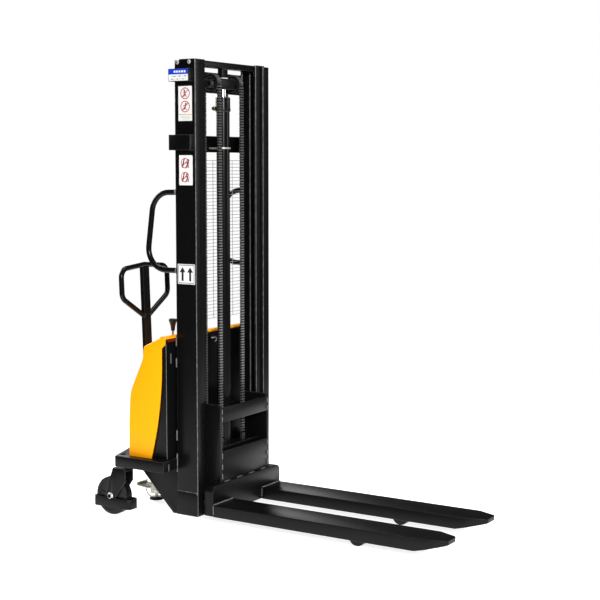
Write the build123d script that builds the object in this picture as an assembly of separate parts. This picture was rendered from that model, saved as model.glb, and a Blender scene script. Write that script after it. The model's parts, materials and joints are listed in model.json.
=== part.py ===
from build123d import *
import math
import os

# Walkie stacker with forks over its support legs, in millimetres.
# +Z is up, +X is the machine's left side and the forks point to -Y.
# Every y below is counted from the front face of the lower fork beam; the finished
# pieces are then shifted so that the origin is the centre of the footprint, on the floor.

# ---- overall sizes -------------------------------------------------------------
FORK_LENGTH = 1150.0
FORK_SPREAD = 560.0
FORK_WIDTH = 160.0
FORK_TOP_Z = 90.0
FORK_SKIRT_Z = 35.0
FORK_PLATE = 6.0
MAST_MARGIN = 17.0
MAST_WIDTH = FORK_SPREAD + 2 * MAST_MARGIN
PAN_MARGIN = 103.0
BASE_WIDTH = MAST_WIDTH + 2 * PAN_MARGIN
MAST_TOP_Z = 2082.0
LIFT_STROKE = 1500.0

# ---- forks ---------------------------------------------------------------------
FORK_TIP_WIDTH = 84.0
FORK_TIP_TAPER = 88.0
FORK_TIP_RISE = 34.0
FORK_TIP_RAMP = 139.0
FORK_TIP_SOLID = 110.0

# ---- support legs and load rollers ---------------------------------------------
LEG_WIDTH = 92.0
LEG_BOTTOM_Z = 30.0
LEG_TOP_Z = 78.0
LEG_WALL = 6.0
LEG_NOSE = 46.0
LOAD_ROLLER_Y = -718.0
LOAD_ROLLER_R = 40.0
LOAD_ROLLER_WIDTH = 70.0
LOAD_AXLE_R = 8.0
ROLLER_POCKET = 52.0

# ---- outer mast ----------------------------------------------------------------
MAST_FRONT_Y = 71.0
MAST_DEPTH = 115.0
MAST_WEB = 16.0
MAST_FLANGE = 12.0
MAST_BASE_Z = 30.0
MAST_REAR_Y = MAST_FRONT_Y + MAST_DEPTH
MAST_HALF = MAST_WIDTH / 2
TIE_PLATE = 8.0
TIE_INSET = 14.0
LUG_REACH = 33.0
LUG_PLATE = 6.0
TOP_TIE_Z = (MAST_TOP_Z - 131.0, MAST_TOP_Z - 37.0)
TOP_LUG_Y = 84.0
MIDDLE_TIE_Z = (MAST_TOP_Z - 403.0, MAST_TOP_Z - 328.0)
MIDDLE_LUG_Y = 77.0
LOWER_TIE_Z = (400.0, 480.0)
FOOT_PLATE = 30.0
LEG_BRACKET_PLATE = 4.0
LEG_BRACKET_TOP_Z = 139.0
PAD_DEPTH = 8.0
PAD_PROUD = 0.7
PAD_Z = (MAST_TOP_Z - 97.0, MAST_TOP_Z - 22.0)
MAST_BOLT_R = 7.0
MAST_BOLT_HEAD = 5.0
MAST_BOLT_DROP = 9.0
MAST_BOLT_Y = (33.0, 18.0)

# ---- inner mast ----------------------------------------------------------------
INNER_GAP = 1.0
INNER_WEB = 14.0
INNER_FLANGE = 12.0
INNER_TIP_X = MAST_HALF - 94.0
INNER_TOP_Z = MAST_TOP_Z + 6.0
TOP_BAR_Z = (INNER_TOP_Z - 28.0, INNER_TOP_Z - 2.0)
TOP_BAR_GAP = 1.0
FOOT_TIE_Y = (62.0, 92.0)
FOOT_TIE_Z = (92.0, 124.0)
FOOT_TIE_GAP = 4.0
ROLLER_PLAY = 0.5
INNER_ROLLER_R = MAST_DEPTH / 2 - MAST_FLANGE - ROLLER_PLAY
INNER_ROLLER_Z = 78.0
INNER_BASE_Z = INNER_ROLLER_Z + INNER_ROLLER_R + 3.0
INNER_BRACKET = 10.0
INNER_BRACKET_TOP_Z = 215.0
RUNNING_FIT = 0.05

# ---- sheaves, chains and cylinder ----------------------------------------------
SHEAVE_X = 88.5
SHEAVE_Y = 131.0
SHEAVE_Z = MAST_TOP_Z - 93.0
SHEAVE_ROOT_R = 36.7
SHEAVE_RIM_R = 43.5
SHEAVE_WIDTH = 31.0
SHEAVE_RIM = 2.5
SHEAVE_AXLE_R = 12.5
CHAIN_WIDTH = 25.0
CHAIN_THICK = 12.0
CHAIN_GAP = 0.3
SHEAVE_AXLE_PROUD = 6.0
CROSSHEAD_HALF = 70.0
CROSSHEAD_DEPTH = 52.0
CROSSHEAD_Z = (SHEAVE_Z - 22.0, SHEAVE_Z + 26.0)
CROSSHEAD_STUB_R = 13.0
TUBE_R = 31.0
TUBE_BORE_R = 26.0
GLAND_R = 34.0
GLAND_Z = (SHEAVE_Z - 124.0, SHEAVE_Z - 59.0)
ROD_R = 15.0
PISTON_R = 25.7
PISTON_Z = (320.0, 355.0)
TUBE_FLOOR = 20.0
PORT_Z = 105.0
PORT_R = 9.0
PORT_REACH = 41.0
BLEED_Z = GLAND_Z[0] + 13.0
BLEED_R = 7.0
BLEED_REACH = 80.0
STRAP_Z = (MIDDLE_TIE_Z[0] + 15.0, MIDDLE_TIE_Z[0] + 23.0)
STRAP_THICK = 4.0

# ---- carriage ------------------------------------------------------------------
BEAM_DEPTH = 48.0
BEAM_Z = (37.0, 175.0)
BEAM_WALL = 10.0
BEAM_CORNER_R = 30.0
LEG_NOTCH_GAP = 6.0
PLATE_FRONT_Y = 12.0
PLATE_THICK = 12.0
FRONT_PLATE_TOP_Z = 318.0
TOP_BAR_OF_CARRIAGE_Z = (451.0, 520.0)
SIDE_OUTER_X = INNER_TIP_X - 4.0
SIDE_PLATE = 12.0
SIDE_REAR_Y = 160.0
SIDE_TOP_Z = 533.0
SIDE_BOTTOM_Z = 130.0
SIDE_CORNER_R = 20.0
CARRIAGE_ROLLER_R = INNER_ROLLER_R - INNER_FLANGE - 2 * ROLLER_PLAY
CARRIAGE_ROLLER_X = (INNER_TIP_X + 10.0, INNER_TIP_X + 46.0)
CARRIAGE_ROLLER_Z = (165.0, 470.0)
STUB_R = 16.0
ANCHOR_BAR_Y = (60.0, 115.0)
ANCHOR_BAR_Z = (300.0, 322.0)
ANCHOR_R = 8.0
ANCHOR_EYE = 30.0
ANCHOR_NUT = 14.0

# ---- chassis -------------------------------------------------------------------
BASE_TOP_Z = 287.0
BASE_DEPTH = 50.0
BASE_PLATE = 6.0
BASE_CORNER_Y = 467.0
NOSE_Y = 604.0
NOSE_HALF = 20.0
NOSE_SHOULDER = (42.0, 586.0)
GUSSET_PLATE = 6.0
GUSSET_FOOT_Y = MAST_REAR_Y + 26.0
GUSSET_KNEE = (390.0, 210.0)
GUSSET_TOP_Y = 452.0
GUSSET_TAB_Y = 395.0

# ---- case and hood -------------------------------------------------------------
CASE_FRONT_Y = MAST_REAR_Y + 14.0
CASE_PLATE = 3.0
CASE_TOP_Z = 837.0
CASE_SIDE_TOP_Z = 806.0
CASE_SIDE_REACH = 95.0
HOOD_INSET = 38.0
HOOD_HALF = BASE_WIDTH / 2 - HOOD_INSET
HOOD_WALL = 3.5
CASE_HALF = HOOD_HALF - 2 * HOOD_WALL
HOOD_TOP_Z = 851.0
HOOD_LIP_Y = CASE_FRONT_Y - 3.0
HOOD_LIP_Z = 841.0
HOOD_OPENING_TOP_Z = 814.0
HOOD_OPENING_CUT = 16.0
HOOD_DEPTH = 220.0
HOOD_REAR_Y = HOOD_LIP_Y + HOOD_DEPTH
HOOD_EDGE_R = 8.0

# ---- power unit ----------------------------------------------------------------
BATTERY = (255.0, 165.0, 205.0)
BATTERY_X = 215.0
BATTERY_FRONT_Y = CASE_FRONT_Y + 18.0
VALVE_HALF = 28.0
VALVE_Y = (CASE_FRONT_Y + 35.0, CASE_FRONT_Y + 90.0)
VALVE_Z = (300.0, 380.0)
MOTOR_R = 45.0
MOTOR_TOP_Z = 560.0
TANK_X = (70.0, 340.0)
TANK_Y = (CASE_FRONT_Y + 15.0, CASE_FRONT_Y + 130.0)
TANK_Z = (520.0, 640.0)
CHARGER_X = (-340.0, -80.0)
CHARGER_Z = (520.0, 600.0)
HOSE_R = 6.0
HOSE_Y = CASE_FRONT_Y + 62.0
HOSE_BEND_R = 60.0

# ---- guard and rails -----------------------------------------------------------
MESH_Z = (904.0, MIDDLE_TIE_Z[0] - 39.0)
MESH_PITCH = 16.0
MESH_HALF = MAST_HALF - 29.0
MESH_WIRE = 3.0
MESH_STILE_X = (0.0, 158.0, MESH_HALF - 2.0)
RAIL_X = MAST_HALF - 13.0
RAIL_R = 12.5
RAIL_TOP_Z = 1499.0
RAIL_BOTTOM_Z = 1147.0
RAIL_UPPER_Y = 315.0
RAIL_LOWER_Y = 362.0
RAIL_BEND_R = 95.0

# ---- casters -------------------------------------------------------------------
CASTER_INSET = 43.0
CASTER_X = BASE_WIDTH / 2 - CASTER_INSET
CASTER_Y = 453.0
WHEEL_Y = 508.0
WHEEL_R = 90.0
WHEEL_WIDTH = 46.0
WHEEL_AXLE_R = 10.0
YOKE_HALF = 30.0
YOKE_PLATE = 5.0
YOKE_TOP_Z = 225.0
YOKE_CROWN = 12.0
YOKE_EYE_R = 30.0
YOKE_Y = (420.0, 492.0)
STEM_R = 10.0
STEM_TOP_Z = 275.0
STEM_HOLE_R = 14.0
BOSS_R = 18.0
BOSS_DEPTH = 9.0
BEARING_R = 30.0
GUARD_Y = (392.0, 610.0)
GUARD_Z = (36.0, 82.0)
GUARD_PLATE = 5.0
GUARD_CUT = 14.0

# ---- steering and tiller -------------------------------------------------------
STEER_Y = 570.0
STEER_SHAFT_R = 14.0
CRANK_RADIUS = 36.0
CRANK_Z = (246.0, 258.0)
CRANK_PIN_R = 5.0
CRANK_PIN_TOP_Z = 269.0
LINK_GAP = 0.5
LINK_PLATE = 4.0
LINK_HALF = 4.0
LINK_EYE_R = 8.0
LINK_Z = (259.0, 264.0)
TURNTABLE_R = 34.0
TURNTABLE = 12.0
CLEVIS_HALF = 32.0
CLEVIS_PLATE = 6.0
CLEVIS_TOP_Z = 347.0
TILT_PIN_Z = 325.0
TILT_PIN_R = 8.0
TILLER_LEAN = 2.16
POST_WIDTH = 50.0
POST_DEPTH = 22.0
POST_BOTTOM_Z = 304.0
POST_TOP_Z = 1136.0
LOOP_TUBE_R = 12.5
LOOP_APEX_Z = 1142.0
LOOP_UPPER_CORNER = (177.0, 1127.0)
LOOP_LOWER_CORNER = (177.0, 990.0)
LOOP_ROOT = (18.0, 893.0)
LOOP_BEND_R = 45.0

# ---- controls ------------------------------------------------------------------
LEVER_X = -200.0
LEVER_Y = CASE_FRONT_Y + 78.0
LEVER_PIVOT_Z = 800.0
LEVER_KNOB_Z = (860.0, 916.0)
LEVER_KNOB_R = (9.0, 20.0)
LEVER_ROD_R = 5.0
LEVER_SLOT = (16.0, 50.0)
SWITCH_Y = CASE_FRONT_Y + 12.0
KEY_X = -130.0
KEY_R = 9.0
STOP_X = -65.0
STOP_R = 13.0
STOP_TRAVEL = 4.0
SWITCH_STEM_R = 6.0
SWITCH_HOLE_GAP = 0.05

# ---- floor lock ----------------------------------------------------------------
LOCK_X = -70.0
LOCK_Y = 484.0
LOCK_FOOT_R = 35.0
LOCK_FOOT_Z = (10.0, 22.0)
LOCK_STEM_R = 8.0
LOCK_STEM_TOP_Z = 150.0
LOCK_GUIDE_Z = (98.0, 128.0)
LOCK_HALF = 26.0
LOCK_CHEEK = 4.0
LOCK_CHEEK_Y = (446.0, 500.0)
LOCK_CHEEK_BOTTOM_Z = 44.0
LOCK_PIVOT = (458.0, 62.0)
LOCK_PIN_R = 5.0
PEDAL_TIP = (576.0, 74.0)
PEDAL_HALF = 40.0
PEDAL_PLATE = 5.0
PEDAL_ARM = 8.0

# ---- worked-out places ---------------------------------------------------------
REAR_REACH = (STEER_Y + LOOP_TUBE_R
              + (LOOP_APEX_Z - TILT_PIN_Z) * math.tan(math.radians(TILLER_LEAN)))
DATUM_Y = (FORK_LENGTH - REAR_REACH) / 2
FORK_X = (FORK_SPREAD - FORK_WIDTH) / 2
FLANGE_TIP_X = FORK_X + LEG_WIDTH / 2
WEB_INNER_X = MAST_HALF - MAST_WEB
INNER_OUTER_X = WEB_INNER_X - INNER_GAP
INNER_FRONT_Y = MAST_FRONT_Y + MAST_FLANGE + INNER_GAP
INNER_REAR_Y = MAST_REAR_Y - MAST_FLANGE - INNER_GAP
ROLLER_Y = MAST_FRONT_Y + MAST_DEPTH / 2
STRAND_R = SHEAVE_ROOT_R + CHAIN_GAP + CHAIN_THICK / 2
FRONT_STRAND_Y = SHEAVE_Y - STRAND_R
REAR_STRAND_Y = SHEAVE_Y + STRAND_R
SIDE_INNER_X = SIDE_OUTER_X - SIDE_PLATE
BASE_BOTTOM_Z = BASE_TOP_Z - BASE_DEPTH
BASE_UNDER_Z = BASE_TOP_Z - BASE_PLATE

parts = {}


# ---- small builders ------------------------------------------------------------
def block(x, y, z):
    """A box from three (low, high) pairs."""
    size = [high - low for low, high in (x, y, z)]
    centre = [(high + low) / 2 for low, high in (x, y, z)]
    return Pos(*centre) * Box(*size)


def rod_x(x, y, z, radius):
    return Pos((x[0] + x[1]) / 2, y, z) * Rot(0, 90, 0) * Cylinder(radius, x[1] - x[0])


def rod_y(x, y, z, radius):
    return Pos(x, (y[0] + y[1]) / 2, z) * Rot(90, 0, 0) * Cylinder(radius, y[1] - y[0])


def rod_z(x, y, z, radius):
    return Pos(x, y, (z[0] + z[1]) / 2) * Cylinder(radius, z[1] - z[0])


def slab_x(outline, x):
    """Extrudes a closed outline of (y, z) points across x."""
    face = make_face(Polyline(*outline, close=True))
    return extrude(Plane.YZ.offset(x[0]) * face, amount=x[1] - x[0])


def slab_z(outline, z):
    """Extrudes a closed outline of (x, y) points across z."""
    face = make_face(Polyline(*outline, close=True))
    return extrude(Plane.XY.offset(z[0]) * face, amount=z[1] - z[0])


def other_side(shape):
    return mirror(shape, about=Plane.YZ)


def both_sides(shape):
    return [shape, other_side(shape)]


def keep(node, *shapes):
    """Records a node as one compound of separate solids, in the finished frame."""
    solids = [solid for shape in shapes for solid in shape.solids()]
    placed = [Pos(0, DATUM_Y, 0) * solid for solid in solids]
    parts[node] = placed[0] if len(placed) == 1 else Compound(children=placed)


# ---- outer mast ----------------------------------------------------------------
def mast_column():
    """The machine's left channel, open inwards, with a pocket for its wear pad."""
    x = (FLANGE_TIP_X, MAST_HALF)
    y = (MAST_FRONT_Y, MAST_REAR_Y)
    z = (MAST_BASE_Z, MAST_TOP_Z)
    cavity = block((x[0], WEB_INNER_X), (y[0] + MAST_FLANGE, y[1] - MAST_FLANGE), z)
    return block(x, y, z) - cavity - pad_space(0)


def pad_space(proud):
    y_half = MAST_DEPTH / 4
    x = (WEB_INNER_X - proud, WEB_INNER_X + PAD_DEPTH)
    return block(x, (ROLLER_Y - y_half, ROLLER_Y + y_half), PAD_Z)


def tie_plate(z):
    """A plate across the rear faces of both columns, short of their outer corners."""
    reach = MAST_HALF - TIE_INSET
    return block((-reach, reach), (MAST_REAR_Y, MAST_REAR_Y + TIE_PLATE), z)


def mast_tie(z, lug_y, lug_z):
    """A rear plate with a folded lug that wraps round the machine's right column."""
    reach = MAST_HALF + LUG_REACH
    rear_y = MAST_REAR_Y + TIE_PLATE
    tie = tie_plate(z) + block((-reach, TIE_INSET - MAST_HALF), (MAST_REAR_Y, rear_y), lug_z)
    tie += block((-reach, LUG_PLATE - reach), (lug_y, rear_y), lug_z)
    return tie + block((-reach, -MAST_HALF), (lug_y, lug_y + LUG_PLATE), lug_z)


def make_outer_mast():
    keep("mast_column_left", mast_column())
    keep("mast_column_right", other_side(mast_column()))
    keep("mast_wear_pads", *both_sides(pad_space(PAD_PROUD)))
    top = mast_tie(TOP_TIE_Z, TOP_LUG_Y, (TOP_TIE_Z[0] + 37, TOP_TIE_Z[1] - 2))
    middle = mast_tie(MIDDLE_TIE_Z, MIDDLE_LUG_Y, (MIDDLE_TIE_Z[0] + 7, MIDDLE_TIE_Z[1]))
    lower = tie_plate(LOWER_TIE_Z)
    shelf_y = (REAR_STRAND_Y - CHAIN_THICK, MAST_REAR_Y)
    shelf_x = (-SHEAVE_X - CHAIN_WIDTH, SHEAVE_X + CHAIN_WIDTH)
    lower += block(shelf_x, shelf_y, (LOWER_TIE_Z[0], LOWER_TIE_Z[0] + TIE_PLATE))
    for side in (-1, 1):
        lower -= rod_z(side * SHEAVE_X, REAR_STRAND_Y, (LOWER_TIE_Z[0] - 1,
                       LOWER_TIE_Z[0] + TIE_PLATE + 1), ANCHOR_R + LINK_GAP)
    keep("mast_ties", top, middle, lower)
    foot_x = FORK_X - LEG_WIDTH / 2
    foot = block((-foot_x, foot_x), (ROLLER_Y - TUBE_R - BEAM_WALL, MAST_REAR_Y),
                 (MAST_BASE_Z, MAST_BASE_Z + FOOT_PLATE))
    bracket = block((MAST_HALF, MAST_HALF + LEG_BRACKET_PLATE), (MAST_FRONT_Y, MAST_REAR_Y),
                    (MAST_BASE_Z, LEG_BRACKET_TOP_Z))
    keep("mast_foot", foot, *both_sides(bracket))
    keep("mast_bolts", *mast_bolts())


def mast_bolts():
    bolts = []
    head = (MAST_HALF, MAST_HALF + MAST_BOLT_HEAD)
    for y in (MAST_FRONT_Y + MAST_BOLT_Y[0], MAST_REAR_Y - MAST_BOLT_Y[1]):
        bolts += both_sides(rod_x(head, y, MAST_TOP_Z - MAST_BOLT_DROP, MAST_BOLT_R))
    return bolts


# ---- support legs --------------------------------------------------------------
def make_legs():
    legs, axles = [], []
    for side in (-1, 1):
        centre = side * FORK_X
        x = (centre - LEG_WIDTH / 2, centre + LEG_WIDTH / 2)
        hollow = (x[0] + LEG_WALL, x[1] - LEG_WALL)
        nose_y = LOAD_ROLLER_Y - LEG_NOSE
        leg = block(x, (nose_y, MAST_REAR_Y), (LEG_BOTTOM_Z, LEG_TOP_Z))
        leg -= block(hollow, (nose_y, MAST_REAR_Y - LEG_WALL),
                     (LEG_BOTTOM_Z + LEG_WALL, LEG_TOP_Z - LEG_WALL))
        leg -= block(hollow, (nose_y, LOAD_ROLLER_Y + ROLLER_POCKET), (LEG_BOTTOM_Z, LEG_TOP_Z))
        leg -= rod_x(x, LOAD_ROLLER_Y, LOAD_ROLLER_R, LOAD_AXLE_R)
        legs.append(leg)
        axles.append(rod_x(x, LOAD_ROLLER_Y, LOAD_ROLLER_R, LOAD_AXLE_R))
        half = LOAD_ROLLER_WIDTH / 2
        roller = rod_x((centre - half, centre + half), LOAD_ROLLER_Y, LOAD_ROLLER_R, LOAD_ROLLER_R)
        roller = fillet(roller.edges().filter_by(GeomType.CIRCLE), 4)
        roller -= rod_x(x, LOAD_ROLLER_Y, LOAD_ROLLER_R, LOAD_AXLE_R + RUNNING_FIT)
        keep("load_roller_" + ("right" if side < 0 else "left"), roller)
    keep("support_legs", *legs, *axles)


# ---- inner mast ----------------------------------------------------------------
def inner_channel():
    x = (INNER_TIP_X, INNER_OUTER_X)
    y = (INNER_FRONT_Y, INNER_REAR_Y)
    z = (INNER_BASE_Z, INNER_TOP_Z)
    cavity = block((x[0], x[1] - INNER_WEB), (y[0] + INNER_FLANGE, y[1] - INNER_FLANGE), z)
    return block(x, y, z) - cavity


def inner_roller_bracket():
    """A plate inside the channel that reaches below it, with the roller's stub axle."""
    outer = INNER_OUTER_X - INNER_WEB
    x = (outer - INNER_BRACKET, outer)
    y = (INNER_FRONT_Y + INNER_FLANGE, INNER_REAR_Y - INNER_FLANGE)
    plate = block(x, y, (INNER_ROLLER_Z - STUB_R, INNER_BRACKET_TOP_Z))
    stub = rod_x((x[1], INNER_OUTER_X), ROLLER_Y, INNER_ROLLER_Z, STUB_R)
    return plate + rod_x((x[0], x[1]), ROLLER_Y, INNER_ROLLER_Z, STUB_R) + stub


def make_inner_mast():
    keep("inner_channels", *both_sides(inner_channel()))
    cavity_x = INNER_OUTER_X - INNER_WEB
    bar_y = (INNER_FRONT_Y + INNER_FLANGE + TOP_BAR_GAP, INNER_REAR_Y - INNER_FLANGE - TOP_BAR_GAP)
    keep("inner_top_bar", block((-cavity_x, cavity_x), bar_y, TOP_BAR_Z))
    tie_x = FLANGE_TIP_X - FOOT_TIE_GAP
    foot = block((-tie_x, tie_x), FOOT_TIE_Y, FOOT_TIE_Z)
    knee_x = (tie_x - INNER_BRACKET, cavity_x - INNER_BRACKET)
    knee_y = (FOOT_TIE_Y[1], INNER_FRONT_Y + 2 * INNER_FLANGE)
    for side in both_sides(block(knee_x, knee_y, FOOT_TIE_Z) + inner_roller_bracket()):
        foot += side
    keep("inner_foot", foot)
    roller_x = (cavity_x + LINK_GAP, INNER_OUTER_X)
    roller = rod_x(roller_x, ROLLER_Y, INNER_ROLLER_Z, INNER_ROLLER_R)
    roller -= rod_x(roller_x, ROLLER_Y, INNER_ROLLER_Z, STUB_R + RUNNING_FIT)
    keep("inner_rollers", *both_sides(roller))


def sheave():
    half = SHEAVE_WIDTH / 2
    x = (SHEAVE_X - half, SHEAVE_X + half)
    wheel = rod_x(x, SHEAVE_Y, SHEAVE_Z, SHEAVE_RIM_R)
    groove_x = (x[0] + SHEAVE_RIM, x[1] - SHEAVE_RIM)
    wheel -= (rod_x(groove_x, SHEAVE_Y, SHEAVE_Z, SHEAVE_RIM_R + 1)
              - rod_x(groove_x, SHEAVE_Y, SHEAVE_Z, SHEAVE_ROOT_R))
    return wheel - rod_x(x, SHEAVE_Y, SHEAVE_Z, SHEAVE_AXLE_R + RUNNING_FIT)


def crosshead():
    """The block on the rod's end, its sheave axle and the stub to the top bar."""
    depth = (SHEAVE_Y - CROSSHEAD_DEPTH / 2, SHEAVE_Y + CROSSHEAD_DEPTH / 2)
    head = block((-CROSSHEAD_HALF, CROSSHEAD_HALF), depth, CROSSHEAD_Z)
    head = fillet(head.edges().filter_by(Axis.Y), 8)
    axle_x = SHEAVE_X + SHEAVE_WIDTH / 2 + SHEAVE_AXLE_PROUD
    head += rod_x((-axle_x, axle_x), SHEAVE_Y, SHEAVE_Z, SHEAVE_AXLE_R)
    return head + rod_z(0, SHEAVE_Y, (CROSSHEAD_Z[1], TOP_BAR_Z[0]), CROSSHEAD_STUB_R)


def chain_strand(y, z):
    half = CHAIN_WIDTH / 2
    return block((SHEAVE_X - half, SHEAVE_X + half), (y - CHAIN_THICK / 2, y + CHAIN_THICK / 2), z)


def chain_wrap():
    """The half turn of chain over a sheave."""
    half = CHAIN_WIDTH / 2
    x = (SHEAVE_X - half, SHEAVE_X + half)
    outer = STRAND_R + CHAIN_THICK / 2
    turn = rod_x(x, SHEAVE_Y, SHEAVE_Z, outer) - rod_x(x, SHEAVE_Y, SHEAVE_Z, outer - CHAIN_THICK)
    return turn & block(x, (SHEAVE_Y - outer, SHEAVE_Y + outer), (SHEAVE_Z, SHEAVE_Z + outer))


def chain_anchor(y, seat_z, eye_z, under_z):
    """A threaded anchor with an eye block above its shelf and a nut below it."""
    eye = block((SHEAVE_X - CHAIN_WIDTH / 2, SHEAVE_X + CHAIN_WIDTH / 2),
                (y - CHAIN_THICK / 2, y + CHAIN_THICK / 2), (seat_z, eye_z))
    shank = rod_z(SHEAVE_X, y, (under_z - ANCHOR_NUT - 6, seat_z), ANCHOR_R)
    nut = Pos(SHEAVE_X, y, under_z - ANCHOR_NUT / 2) * extrude(RegularPolygon(12, 6),
                                                               ANCHOR_NUT / 2, both=True)
    return eye + shank + nut


def make_chains():
    front_eye_z = ANCHOR_BAR_Z[1] + ANCHOR_EYE
    strand = chain_strand(FRONT_STRAND_Y, (front_eye_z, SHEAVE_Z)) + chain_wrap()
    keep("front_chain", *both_sides(strand))
    front = chain_anchor(FRONT_STRAND_Y, ANCHOR_BAR_Z[1], front_eye_z, ANCHOR_BAR_Z[0])
    keep("front_chain_anchors", *both_sides(front))
    shelf_z = (LOWER_TIE_Z[0], LOWER_TIE_Z[0] + TIE_PLATE)
    rear_eye_z = shelf_z[1] + ANCHOR_EYE
    keep("rear_chain", *both_sides(chain_strand(REAR_STRAND_Y, (rear_eye_z, SHEAVE_Z))))
    rear = chain_anchor(REAR_STRAND_Y, shelf_z[1], rear_eye_z, shelf_z[0])
    keep("rear_chain_anchors", *both_sides(rear))
    keep("crosshead", crosshead())
    keep("sheaves", *both_sides(sheave()))


def make_cylinder():
    foot_z = MAST_BASE_Z + FOOT_PLATE
    tube = rod_z(0, SHEAVE_Y, (foot_z, GLAND_Z[0]), TUBE_R)
    tube += rod_z(0, SHEAVE_Y, GLAND_Z, GLAND_R)
    tube += rod_y(0, (SHEAVE_Y, SHEAVE_Y + PORT_REACH), PORT_Z, PORT_R)
    tube += rod_x((-BLEED_REACH, 0), SHEAVE_Y, BLEED_Z, BLEED_R)
    tube -= rod_z(0, SHEAVE_Y, (foot_z + TUBE_FLOOR, GLAND_Z[0]), TUBE_BORE_R)
    tube -= rod_z(0, SHEAVE_Y, (GLAND_Z[0], GLAND_Z[1]), ROD_R + RUNNING_FIT)
    keep("lift_cylinder", tube)
    rod = rod_z(0, SHEAVE_Y, (PISTON_Z[0], CROSSHEAD_Z[0]), ROD_R)
    keep("cylinder_rod", rod + rod_z(0, SHEAVE_Y, PISTON_Z, PISTON_R))
    inner = TUBE_R + CHAIN_GAP
    ring = rod_z(0, SHEAVE_Y, STRAP_Z, inner + STRAP_THICK)
    legs = block((-inner - STRAP_THICK, inner + STRAP_THICK), (SHEAVE_Y, MAST_REAR_Y), STRAP_Z)
    hole = rod_z(0, SHEAVE_Y, STRAP_Z, inner)
    gap = block((-inner, inner), (SHEAVE_Y, MAST_REAR_Y), STRAP_Z)
    keep("cylinder_strap", ring + legs - hole - gap)


# ---- carriage and forks --------------------------------------------------------
def lower_beam():
    half = FORK_SPREAD / 2
    beam = block((-half, half), (0, BEAM_DEPTH), BEAM_Z)
    beam = fillet(beam.edges().filter_by(Axis.Y).group_by(Axis.Z)[-1], BEAM_CORNER_R)
    beam -= block((-half + BEAM_WALL, half - BEAM_WALL), (BEAM_WALL, BEAM_DEPTH),
                  (BEAM_Z[0], BEAM_Z[1] - BEAM_CORNER_R))
    for side in (-1, 1):
        reach = LEG_WIDTH / 2 + LEG_NOTCH_GAP
        x = (side * FORK_X - reach, side * FORK_X + reach)
        beam -= block(x, (-1, BEAM_DEPTH), (BEAM_Z[0], FORK_TOP_Z - FORK_PLATE))
    return beam


def carriage_side():
    top_front = SIDE_CORNER_R
    outline = [(PLATE_FRONT_Y, BEAM_Z[1]), (PLATE_FRONT_Y, SIDE_TOP_Z), (SIDE_REAR_Y, SIDE_TOP_Z),
               (SIDE_REAR_Y, SIDE_BOTTOM_Z), (BEAM_DEPTH, SIDE_BOTTOM_Z), (BEAM_DEPTH, BEAM_Z[1])]
    plate = slab_x(outline, (SIDE_INNER_X, SIDE_OUTER_X))
    corner = plate.edges().filter_by(Axis.X).group_by(Axis.Z)[-1].sort_by(Axis.Y)[0]
    plate = fillet(corner, top_front)
    for z in CARRIAGE_ROLLER_Z:
        plate += rod_x((SIDE_OUTER_X, CARRIAGE_ROLLER_X[1] + 2), ROLLER_Y, z, STUB_R)
    return plate


def carriage_roller(z):
    roller = rod_x(CARRIAGE_ROLLER_X, ROLLER_Y, z, CARRIAGE_ROLLER_R)
    roller = fillet(roller.edges().filter_by(GeomType.CIRCLE), 2)
    return roller - rod_x(CARRIAGE_ROLLER_X, ROLLER_Y, z, STUB_R + RUNNING_FIT)


def fork(side):
    """An inverted channel with a tapered, ramped and closed tip."""
    half = FORK_WIDTH / 2
    tip = FORK_TIP_WIDTH / 2
    y_tip = -FORK_LENGTH
    centre = side * FORK_X
    plan = [(centre - half, 0), (centre - half, y_tip + FORK_TIP_TAPER), (centre - tip, y_tip),
            (centre + tip, y_tip), (centre + half, y_tip + FORK_TIP_TAPER), (centre + half, 0)]
    blade = slab_z(plan, (FORK_SKIRT_Z, FORK_TOP_Z))
    corners = blade.edges().filter_by(Axis.Z)
    blade = fillet(corners.group_by(Axis.Y)[0], tip / 2)
    ramp = [(y_tip - 1, FORK_SKIRT_Z - 1), (y_tip - 1, FORK_SKIRT_Z + FORK_TIP_RISE),
            (y_tip, FORK_SKIRT_Z + FORK_TIP_RISE), (y_tip + FORK_TIP_RAMP, FORK_SKIRT_Z),
            (y_tip + FORK_TIP_RAMP, FORK_SKIRT_Z - 1)]
    blade -= slab_x(ramp, (centre - half, centre + half))
    hollow = (centre - half + FORK_PLATE, centre + half - FORK_PLATE)
    blade -= block(hollow, (y_tip + FORK_TIP_SOLID, 0), (FORK_SKIRT_Z, FORK_TOP_Z - FORK_PLATE))
    return blade


def make_carriage():
    keep("lower_beam", lower_beam())
    keep("carriage_sides", *both_sides(carriage_side()))
    plate_y = (PLATE_FRONT_Y, PLATE_FRONT_Y + PLATE_THICK)
    between = (-SIDE_INNER_X, SIDE_INNER_X)
    keep("carriage_front_plate", block(between, plate_y, (BEAM_Z[1], FRONT_PLATE_TOP_Z)))
    keep("carriage_top_bar", block(between, plate_y, TOP_BAR_OF_CARRIAGE_Z))
    bar = block(between, ANCHOR_BAR_Y, ANCHOR_BAR_Z)
    for side in (-1, 1):
        bar -= rod_z(side * SHEAVE_X, FRONT_STRAND_Y, ANCHOR_BAR_Z, ANCHOR_R + LINK_GAP)
    bar -= rod_z(0, SHEAVE_Y, ANCHOR_BAR_Z, GLAND_R + 6)
    keep("chain_anchor_bar", bar)
    keep("carriage_rollers_lower", *both_sides(carriage_roller(CARRIAGE_ROLLER_Z[0])))
    keep("carriage_rollers_upper", *both_sides(carriage_roller(CARRIAGE_ROLLER_Z[1])))
    keep("fork_right", fork(-1))
    keep("fork_left", fork(1))


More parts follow.
